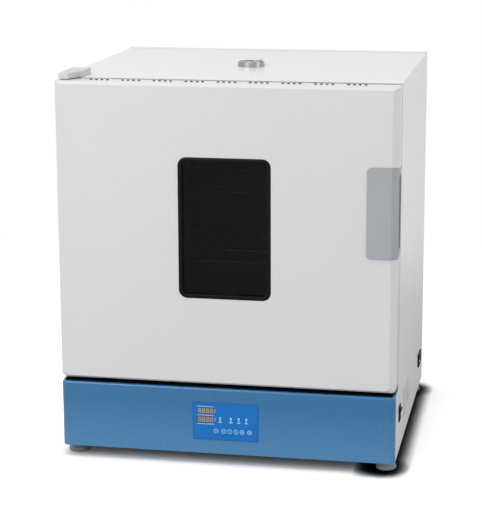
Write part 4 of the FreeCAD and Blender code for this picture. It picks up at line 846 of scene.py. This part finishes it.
def make_door_vents():
    """Soft black grommets in the row of vent holes along the door's top edge; their dead black foam finish
    paints the shade inside the holes.
    """
    low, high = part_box("door_outer_skin")
    group_pitch = 60 * MM
    group_count = 9
    hole_pitch = 10.5 * MM
    holes_in_group = 4
    hole_setback = 29 * MM
    sunk = 0.3 * MM
    spots = []
    for group in range(group_count):
        middle = (group - (group_count - 1) / 2) * group_pitch
        for index in range(holes_in_group):
            x = middle + (index - (holes_in_group - 1) / 2) * hole_pitch
            spots.append((x, low.y + hole_setback, high.z - sunk))
    seed = bpy.data.meshes.new("door_vent_places")
    seed.from_pydata(spots, [], [])
    grown(
        "door_vent_grommets", grommet_field, seed, "door", "black_rubber", painted_shade_foam,
        outer_radius=2.7 * MM, bore_radius=1.4 * MM, height=1.6 * MM,
    )


def make_shelves():
    """Both wire shelves, of round bar and wire."""
    for node in ("shelf_lower", "shelf_upper"):
        low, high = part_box(node)
        rim = (high.z - low.z) / 2
        seed = bpy.data.meshes.new(node + "_seed")
        grown(
            "wire_" + node, wire_shelf, seed, node + "_body", "bright_steel", replaced=[node],
            width=high.x - low.x - 2 * rim, depth=high.y - low.y - 2 * rim, corner_radius=8 * MM,
            bar_radius=rim, wire_radius=1.5 * MM, wire_count=13, wire_rise=0.6 * MM,
            centre=((low.x + high.x) / 2, (low.y + high.y) / 2, (low.z + high.z) / 2),
        )


def make_feet():
    """Turned rubber feet with a soft rim and a moulded ring."""
    low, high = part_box("rubber_feet")
    base = 19.5 * MM
    top = 15 * MM
    height = 22 * MM
    rim = 3 * MM
    shoulder = 1.5 * MM
    ring = ((1.2 * MM, 8 * MM), (2.2 * MM, 8.6 * MM), (2.3 * MM, 10 * MM))
    stem = 4 * MM
    stem_length = 8 * MM
    turn_steps = 48
    profile = [(0, 0), (base - rim, 0)]
    profile += arc_profile(base - rim, rim, rim, -90, 10)
    profile += [(base - inset, rise) for inset, rise in ring]
    profile += arc_profile(top - shoulder, height - shoulder, shoulder, 10, 90)
    profile += [(stem, height), (stem, height + stem_length), (0, height + stem_length)]

    def build(shape):
        for x in (low.x + base, high.x - base):
            for y in (low.y + base, high.y - base):
                lathe(shape, profile, Vector((x, y, 0)), (0, 0, 1), turn_steps)

    new_piece("turned_feet", build, "cabinet", "black_rubber", foot_grey, "rubber_feet")


def make_sill_shade_mat():
    """Thin mat of black foam on the sill under the door, cut out round the lower hinge plate. It is a dark
    sheet that paints the shade in the gap under the door.
    """
    low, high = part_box("base_front_panel")
    plate_low, plate_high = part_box("bottom_hinge_plate")
    height = 3 * MM
    softened = 0.5 * MM
    side_inset = 6 * MM
    front = low.y + 7 * MM
    back = plate_high.y - 2 * MM
    notch_front = plate_low.y - MM
    notch_right = plate_high.x + 4 * MM
    left = low.x + side_inset
    right = high.x - side_inset
    outline = [
        (left, front), (right, front), (right, back), (notch_right, back), (notch_right, notch_front),
        (left, notch_front),
    ]
    corners = [Vector((x, y, high.z)) for x, y in outline]

    def build(shape):
        slab(shape, corners, height, Vector((0, 0, 1)))
        bmesh.ops.recalc_face_normals(shape, faces=shape.faces)
        bmesh.ops.bevel(shape, geom=shape.edges[:], offset=softened, segments=2, affect="EDGES")

    new_piece("sill_shade_mat", build, "cabinet", "black_rubber", painted_shade_foam)


def make_side_cap():
    """Round push-in cap with a low dome and a thin rim."""
    low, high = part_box("side_hole_cap")
    _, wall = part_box("outer_shell")
    centre = Vector((wall.x, (low.y + high.y) / 2, (low.z + high.z) / 2))
    radius = (high.z - low.z) / 2
    rise = high.x - wall.x
    barrel = 17.5 * MM
    barrel_depth = 8 * MM
    rim_round = MM
    rim_inset = 0.4 * MM
    dome = ((0.88, 0.55), (0.7, 0.8), (0.42, 0.95), (0, 1))
    turn_steps = 64
    profile = [(0, -barrel_depth), (barrel, -barrel_depth), (barrel, 0), (radius - rim_inset, 0)]
    profile += arc_profile(radius - rim_round, rim_round, rim_round, -30, 70)
    profile += [(radius * across, rise * up) for across, up in dome]

    def build(shape):
        lathe(shape, profile, centre, (1, 0, 0), turn_steps)

    new_piece("side_cap", build, "cabinet", "pale_plastic", None, "side_hole_cap")


# Keypad

print_thickness = 0.06 * MM
display_height = 12 * MM


def disc(shape, centre, radius, steps, inner=0.0):
    """A thin printed disc or ring that faces the front."""
    if inner == 0:
        corners = []
        for step in range(steps):
            angle = 2 * math.pi * step / steps
            corners.append(centre + Vector((math.cos(angle), 0, math.sin(angle))) * radius)
        slab(shape, corners, print_thickness, Vector((0, 1, 0)))
        return
    profile = [(inner, 0), (radius, 0), (radius, print_thickness), (inner, print_thickness), (inner, 0)]
    lathe(shape, profile, centre, (0, 1, 0), steps)
    bmesh.ops.remove_doubles(shape, verts=shape.verts, dist=weld_distance)


def bar(shape, centre, width, height, turn=0.0):
    """A thin printed bar that faces the front, turned by an angle in degrees."""
    angle = math.radians(turn)
    along = Vector((math.cos(angle), 0, math.sin(angle))) * (width / 2)
    across = Vector((-math.sin(angle), 0, math.cos(angle))) * (height / 2)
    low_side = [centre - along - across, centre + along - across]
    high_side = [centre + along + across, centre - along + across]
    slab(shape, low_side + high_side, print_thickness, Vector((0, 1, 0)))


def make_keypad_print():
    """Printed lines of the keypad: an outline, display frames, unit ticks and four indicator marks."""
    low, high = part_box("keypad_overlay")
    front = low.y - print_thickness
    middle = (low + high) / 2
    width = high.x - low.x
    height = high.z - low.z
    margin = 1.6 * MM
    line = 0.5 * MM

    def outline(shape):
        for side in (-1, 1):
            across_line = Vector((middle.x, front, middle.z + side * (height / 2 - margin)))
            bar(shape, across_line, width - 2 * margin, line)
            upright = Vector((middle.x + side * (width / 2 - margin), front, middle.z))
            bar(shape, upright, line, height - 2 * margin)

    display_low, display_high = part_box("led_displays")
    pitch = display_high.z - display_low.z
    gap = pitch - 2 * display_height
    display_middle = (display_low.x + display_high.x) / 2
    frame_width = display_high.x - display_low.x + 2 * MM
    frame_line = 0.9 * MM
    tick_offset = 2.6 * MM
    tick_height = 3.4 * MM
    tick_dot_rise = 3.2 * MM
    tick_dot = 0.7 * MM

    def frames(shape):
        rows = (display_high.z + gap / 2, display_low.z + pitch / 2, display_low.z - gap / 2)
        for z in rows:
            bar(shape, Vector((display_middle, front, z)), frame_width, frame_line)
        for row in range(2):
            z = display_low.z + display_height / 2 + row * (pitch - display_height)
            spot = Vector((display_high.x + tick_offset, front, z))
            bar(shape, spot, frame_line, tick_height)
            disc(shape, spot + Vector((0, 0, tick_dot_rise)), tick_dot, 12)

    mark_columns = (-10 * MM, 10.5 * MM, 25.7 * MM, 40 * MM)
    mark_height = 93 * MM
    mark_dot = 1.9 * MM
    mark_bars = ((4.2 * MM, 2.4 * MM, 2.6 * MM), (8 * MM, 6.2 * MM, 1.7 * MM))

    def marks(shape):
        for x in mark_columns:
            spot = Vector((x, front, mark_height))
            disc(shape, spot, mark_dot, 16)
            for drop, bar_width, bar_height in mark_bars:
                bar(shape, spot - Vector((0, 0, drop)), bar_width, bar_height)

    for name, build, ink in (
        ("keypad_outline", outline, ink_dark), ("display_frames", frames, ink_pale),
        ("indicator_marks", marks, ink_cyan),
    ):
        new_piece(name, build, "cabinet", "keypad_film", ink)


def make_digits():
    """Four seven-segment digits in each display window, all segments showing."""
    low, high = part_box("led_displays")
    front = low.y - print_thickness
    columns = 4
    digit_width = 4.4 * MM
    digit_height = 8.4 * MM
    stroke = MM
    point_radius = 0.45 * MM
    point_shift = 0.46
    pitch = (high.x - low.x) / columns
    rows = (low.z + display_height / 2, high.z - display_height / 2)

    def build(shape):
        for z in rows:
            for column in range(columns):
                centre = Vector((low.x + pitch * (column + 0.5), front, z))
                for level in (-1, 0, 1):
                    spot = centre + Vector((0, 0, level * digit_height / 2))
                    bar(shape, spot, digit_width - stroke, stroke)
                for side in (-1, 1):
                    for level in (-1, 1):
                        spot = centre + Vector((side * digit_width / 2, 0, level * digit_height / 4))
                        bar(shape, spot, stroke, digit_height / 2 - stroke)
                dot = centre + Vector((pitch * point_shift, 0, -digit_height / 2))
                disc(shape, dot, point_radius, 10)

    new_piece("display_digits", build, "cabinet", "display_window", digit_lens)


def make_keys():
    """Six low domed keys, each with a printed ring and its own small sign."""
    sign_length = 3 * MM
    sign_width = 0.8 * MM
    signs = {
        "key_set": (bar, sign_length, sign_width, 55),
        "key_shift": (bar, sign_length, sign_width),
        "key_down": (disc, 1.1 * MM, 3),
        "key_up": (disc, 1.1 * MM, 12),
        "key_timer": (disc, 1.4 * MM, 16),
        "key_run": (disc, 1.9 * MM, 4),
    }
    crown_inset = 1.1 * MM
    rim_back = 0.85 * MM
    rim = ((0.35 * MM, 0.25 * MM), (0, 0.55 * MM), (0, rim_back))
    stem = 2.3 * MM
    ring_outer_inset = 0.6 * MM
    ring_inner_inset = 1.55 * MM
    turn_steps = 40
    for name, (draw, *sizes) in signs.items():
        low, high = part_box(name)
        radius = (high.x - low.x) / 2
        centre = Vector(((low.x + high.x) / 2, low.y, (low.z + high.z) / 2))
        depth = high.y - low.y
        profile = [(0, print_thickness), (radius - crown_inset, print_thickness)]
        profile += [(radius - inset, back) for inset, back in rim]
        profile += [(stem, rim_back), (stem, depth), (0, depth)]

        def turned(shape):
            lathe(shape, profile, centre, (0, 1, 0), turn_steps)

        def printed(shape):
            disc(shape, centre, radius - ring_outer_inset, turn_steps, radius - ring_inner_inset)
            draw(shape, centre, *sizes)

        new_piece(name + "_cap", turned, name + "_body", "key_plastic", None, name)
        new_piece(name + "_print", printed, name + "_body", "key_plastic", ink_cyan)


# Screws


def fit_screws(stem, spots, direction, radius, height, slot_width):
    """Screws of one size that all face one way."""
    seed = bpy.data.meshes.new(stem + "_screw_places")
    seed.from_pydata(spots, [], [])
    facing = seed.attributes.new("facing", "FLOAT_VECTOR", "POINT")
    for item in facing.data:
        item.vector = direction
    grown(
        stem + "_screws", screw_field, seed, "cabinet", "bright_steel",
        head_radius=radius, head_height=height, slot_width=slot_width,
    )


def make_screws():
    """Screws round the rear cover, on the inlet flange and on the air baffle."""
    low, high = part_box("back_cover")
    inset = 9 * MM
    louvre_rise = 5 * MM
    sunk = 0.2 * MM
    rear_height = 1.7 * MM
    columns = 5
    rows = 6
    y = high.y - louvre_rise + rear_height / 2 - sunk
    spots = []
    for column in range(columns):
        x = low.x + inset + (high.x - low.x - 2 * inset) * column / (columns - 1)
        spots += [(x, y, low.z + inset), (x, y, high.z - inset)]
    for row in range(1, rows):
        z = low.z + inset + (high.z - low.z - 2 * inset) * row / rows
        spots += [(low.x + inset, y, z), (high.x - inset, y, z)]
    fit_screws("rear", spots, (0, 1, 0), radius=3.6 * MM, height=rear_height, slot_width=0.8 * MM)

    low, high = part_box("power_inlet")
    middle = (low + high) / 2
    half_spacing = 20 * MM
    proud = 0.4 * MM
    spots = [(high.x + proud, middle.y + side * half_spacing, middle.z) for side in (-1, 1)]
    fit_screws("inlet", spots, (1, 0, 0), radius=2.6 * MM, height=1.2 * MM, slot_width=0.6 * MM)

    low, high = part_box("rear_air_baffle")
    proud = 0.7 * MM
    spots = []
    for x_share in (0.05, 0.5, 0.95):
        for z_share in (0.04, 0.96):
            x = low.x + (high.x - low.x) * x_share
            z = low.z + (high.z - low.z) * z_share
            spots.append((x, low.y - proud, z))
    fit_screws("baffle", spots, (0, -1, 0), radius=4 * MM, height=1.8 * MM, slot_width=0.9 * MM)


# Room, lamps and camera


def backdrop_white(tree, surface, mask=None):
    """Shows plain white to camera, reflection and glass rays, and the given surface to the others."""
    path = add(tree, "ShaderNodeLightPath").outputs
    seen = maths(tree, "MAXIMUM", path["Is Camera Ray"], path["Is Glossy Ray"])
    seen = maths(tree, "MAXIMUM", seen, path["Is Transmission Ray"])
    if mask is not None:
        seen = maths(tree, "MULTIPLY", seen, mask)
    glow = add(tree, "ShaderNodeEmission", {"Color": white, "Strength": 1.0})
    return add(tree, "ShaderNodeMixShader", {"Fac": seen, 1: surface, 2: glow.outputs[0]}).outputs[0]


def make_floor():
    """White paper floor that keeps the lamps' shadows of the object, adds a painted contact shadow near it,
    deepest beside its right side, and runs out to plain white.
    """
    reach = floor_half
    corners = [(-reach, -reach, 0), (reach, -reach, 0), (reach, reach, 0), (-reach, reach, 0)]
    mesh = bpy.data.meshes.new("floor")
    mesh.from_pydata(corners, [], [(0, 1, 2, 3)])
    floor = scene_object("floor", mesh)
    paper, tree, shader = new_finish("floor_paper", Roughness=0.9, Specular_IOR_Level=0.0)
    camera_ray = add(tree, "ShaderNodeLightPath").outputs["Is Camera Ray"]
    # Painted shadow: ambient occlusion darkens the floor's colour near the object, much more beside its
    # right side
    painted_shadow_occlusion = add(tree, "ShaderNodeAmbientOcclusion", {"Distance": painted_shadow_reach}, samples=8)
    place = object_place(tree)
    across = add(tree, "ShaderNodeSeparateXYZ", {0: place}).outputs["X"]
    depth = spread(tree, across, painted_shadow_depth_front, painted_shadow_depth_side, side_shadow_start, side_shadow_full)
    near = maths(tree, "POWER", painted_shadow_occlusion.outputs["AO"], depth)
    shown = mixed(tree, near, black, white)
    feed(tree, shader.inputs["Base Color"], mixed(tree, camera_ray, bounced_grey, shown))
    extra = maths(tree, "MULTIPLY", near, camera_ray)
    lifted = mixed(tree, extra, black, (floor_lift, floor_lift, floor_lift, 1))
    lift = add(tree, "ShaderNodeBsdfDiffuse", {"Color": lifted})
    paper_white = add(tree, "ShaderNodeAddShader", {0: shader.outputs[0], 1: lift.outputs[0]})
    distance = add(tree, "ShaderNodeVectorMath", {0: place}, operation="LENGTH").outputs["Value"]
    far = spread(tree, distance, 0.0, 1.0, shadow_zone, shadow_zone + shadow_fade)
    surface = backdrop_white(tree, paper_white.outputs[0], far)
    feed(tree, found(tree, "OUTPUT_MATERIAL").inputs["Surface"], surface)
    mesh.materials.append(paper)


def make_world():
    """Even white surround: plain white to look at, a moderate light to the object."""
    world = bpy.data.worlds.new("surround")
    bpy.context.scene.world = world
    world.use_nodes = True
    tree = world.node_tree
    dome = found(tree, "BACKGROUND")
    feed_all(tree, dome, {"Color": white, "Strength": surround_light})
    surface = backdrop_white(tree, dome.outputs[0])
    feed(tree, found(tree, "OUTPUT_WORLD").inputs["Surface"], surface)


def make_lamp(name, place, size, power):
    """A rectangular lamp that points at the middle of the object."""
    lamp = bpy.data.lights.new(name, "AREA")
    lamp.shape = "RECTANGLE"
    lamp.size, lamp.size_y = size
    lamp.energy = power
    lamp.color = lamp_tint
    holder = scene_object(name, lamp)
    holder.location = place
    holder.rotation_mode = "QUATERNION"
    holder.rotation_quaternion = (lamp_target - Vector(place)).to_track_quat("-Z", "Y")


def make_lamps():
    """A wide overhead lamp, a soft one from the front left and a weak one from the right."""
    make_lamp("overhead_lamp", (-0.2, -0.6, 3.0), size=(3.0, 2.4), power=20)
    make_lamp("front_lamp", (-1.6, -3.0, 2.2), size=(2.2, 1.8), power=45.5)
    make_lamp("right_lamp", (3.0, -0.9, 1.4), size=(1.6, 1.6), power=9.6)


def make_camera():
    """The camera of the photograph, from its solved place and angles."""
    lens = bpy.data.cameras.new("camera")
    lens.sensor_width = sensor_size
    lens.lens = focal_pixels * sensor_size / image_height
    lens.shift_y = (optical_row - image_height / 2) / image_height
    lens.clip_start = 0.05
    lens.clip_end = 60
    camera = scene_object("camera", lens)
    azimuth = math.radians(camera_azimuth)
    elevation = math.radians(camera_elevation)
    level = math.cos(elevation)
    back = Vector((math.sin(azimuth) * level, -math.cos(azimuth) * level, math.sin(elevation)))
    aim = (-back).to_track_quat("-Z", "Y").to_matrix().to_4x4()
    roll = Matrix.Rotation(math.radians(camera_roll), 4, "Z")
    camera.matrix_world = Matrix.Translation(camera_place) @ aim @ roll
    bpy.context.scene.camera = camera


bpy.context.scene.view_settings.view_transform = "Standard"
make_camera()
make_world()
make_floor()
make_lamps()
finish_plain_nodes()
make_sheet_pieces()
make_gasket()
make_door_vents()
make_shelves()
make_feet()
make_sill_shade_mat()
make_side_cap()
make_keypad_print()
make_digits()
make_keys()
make_screws()
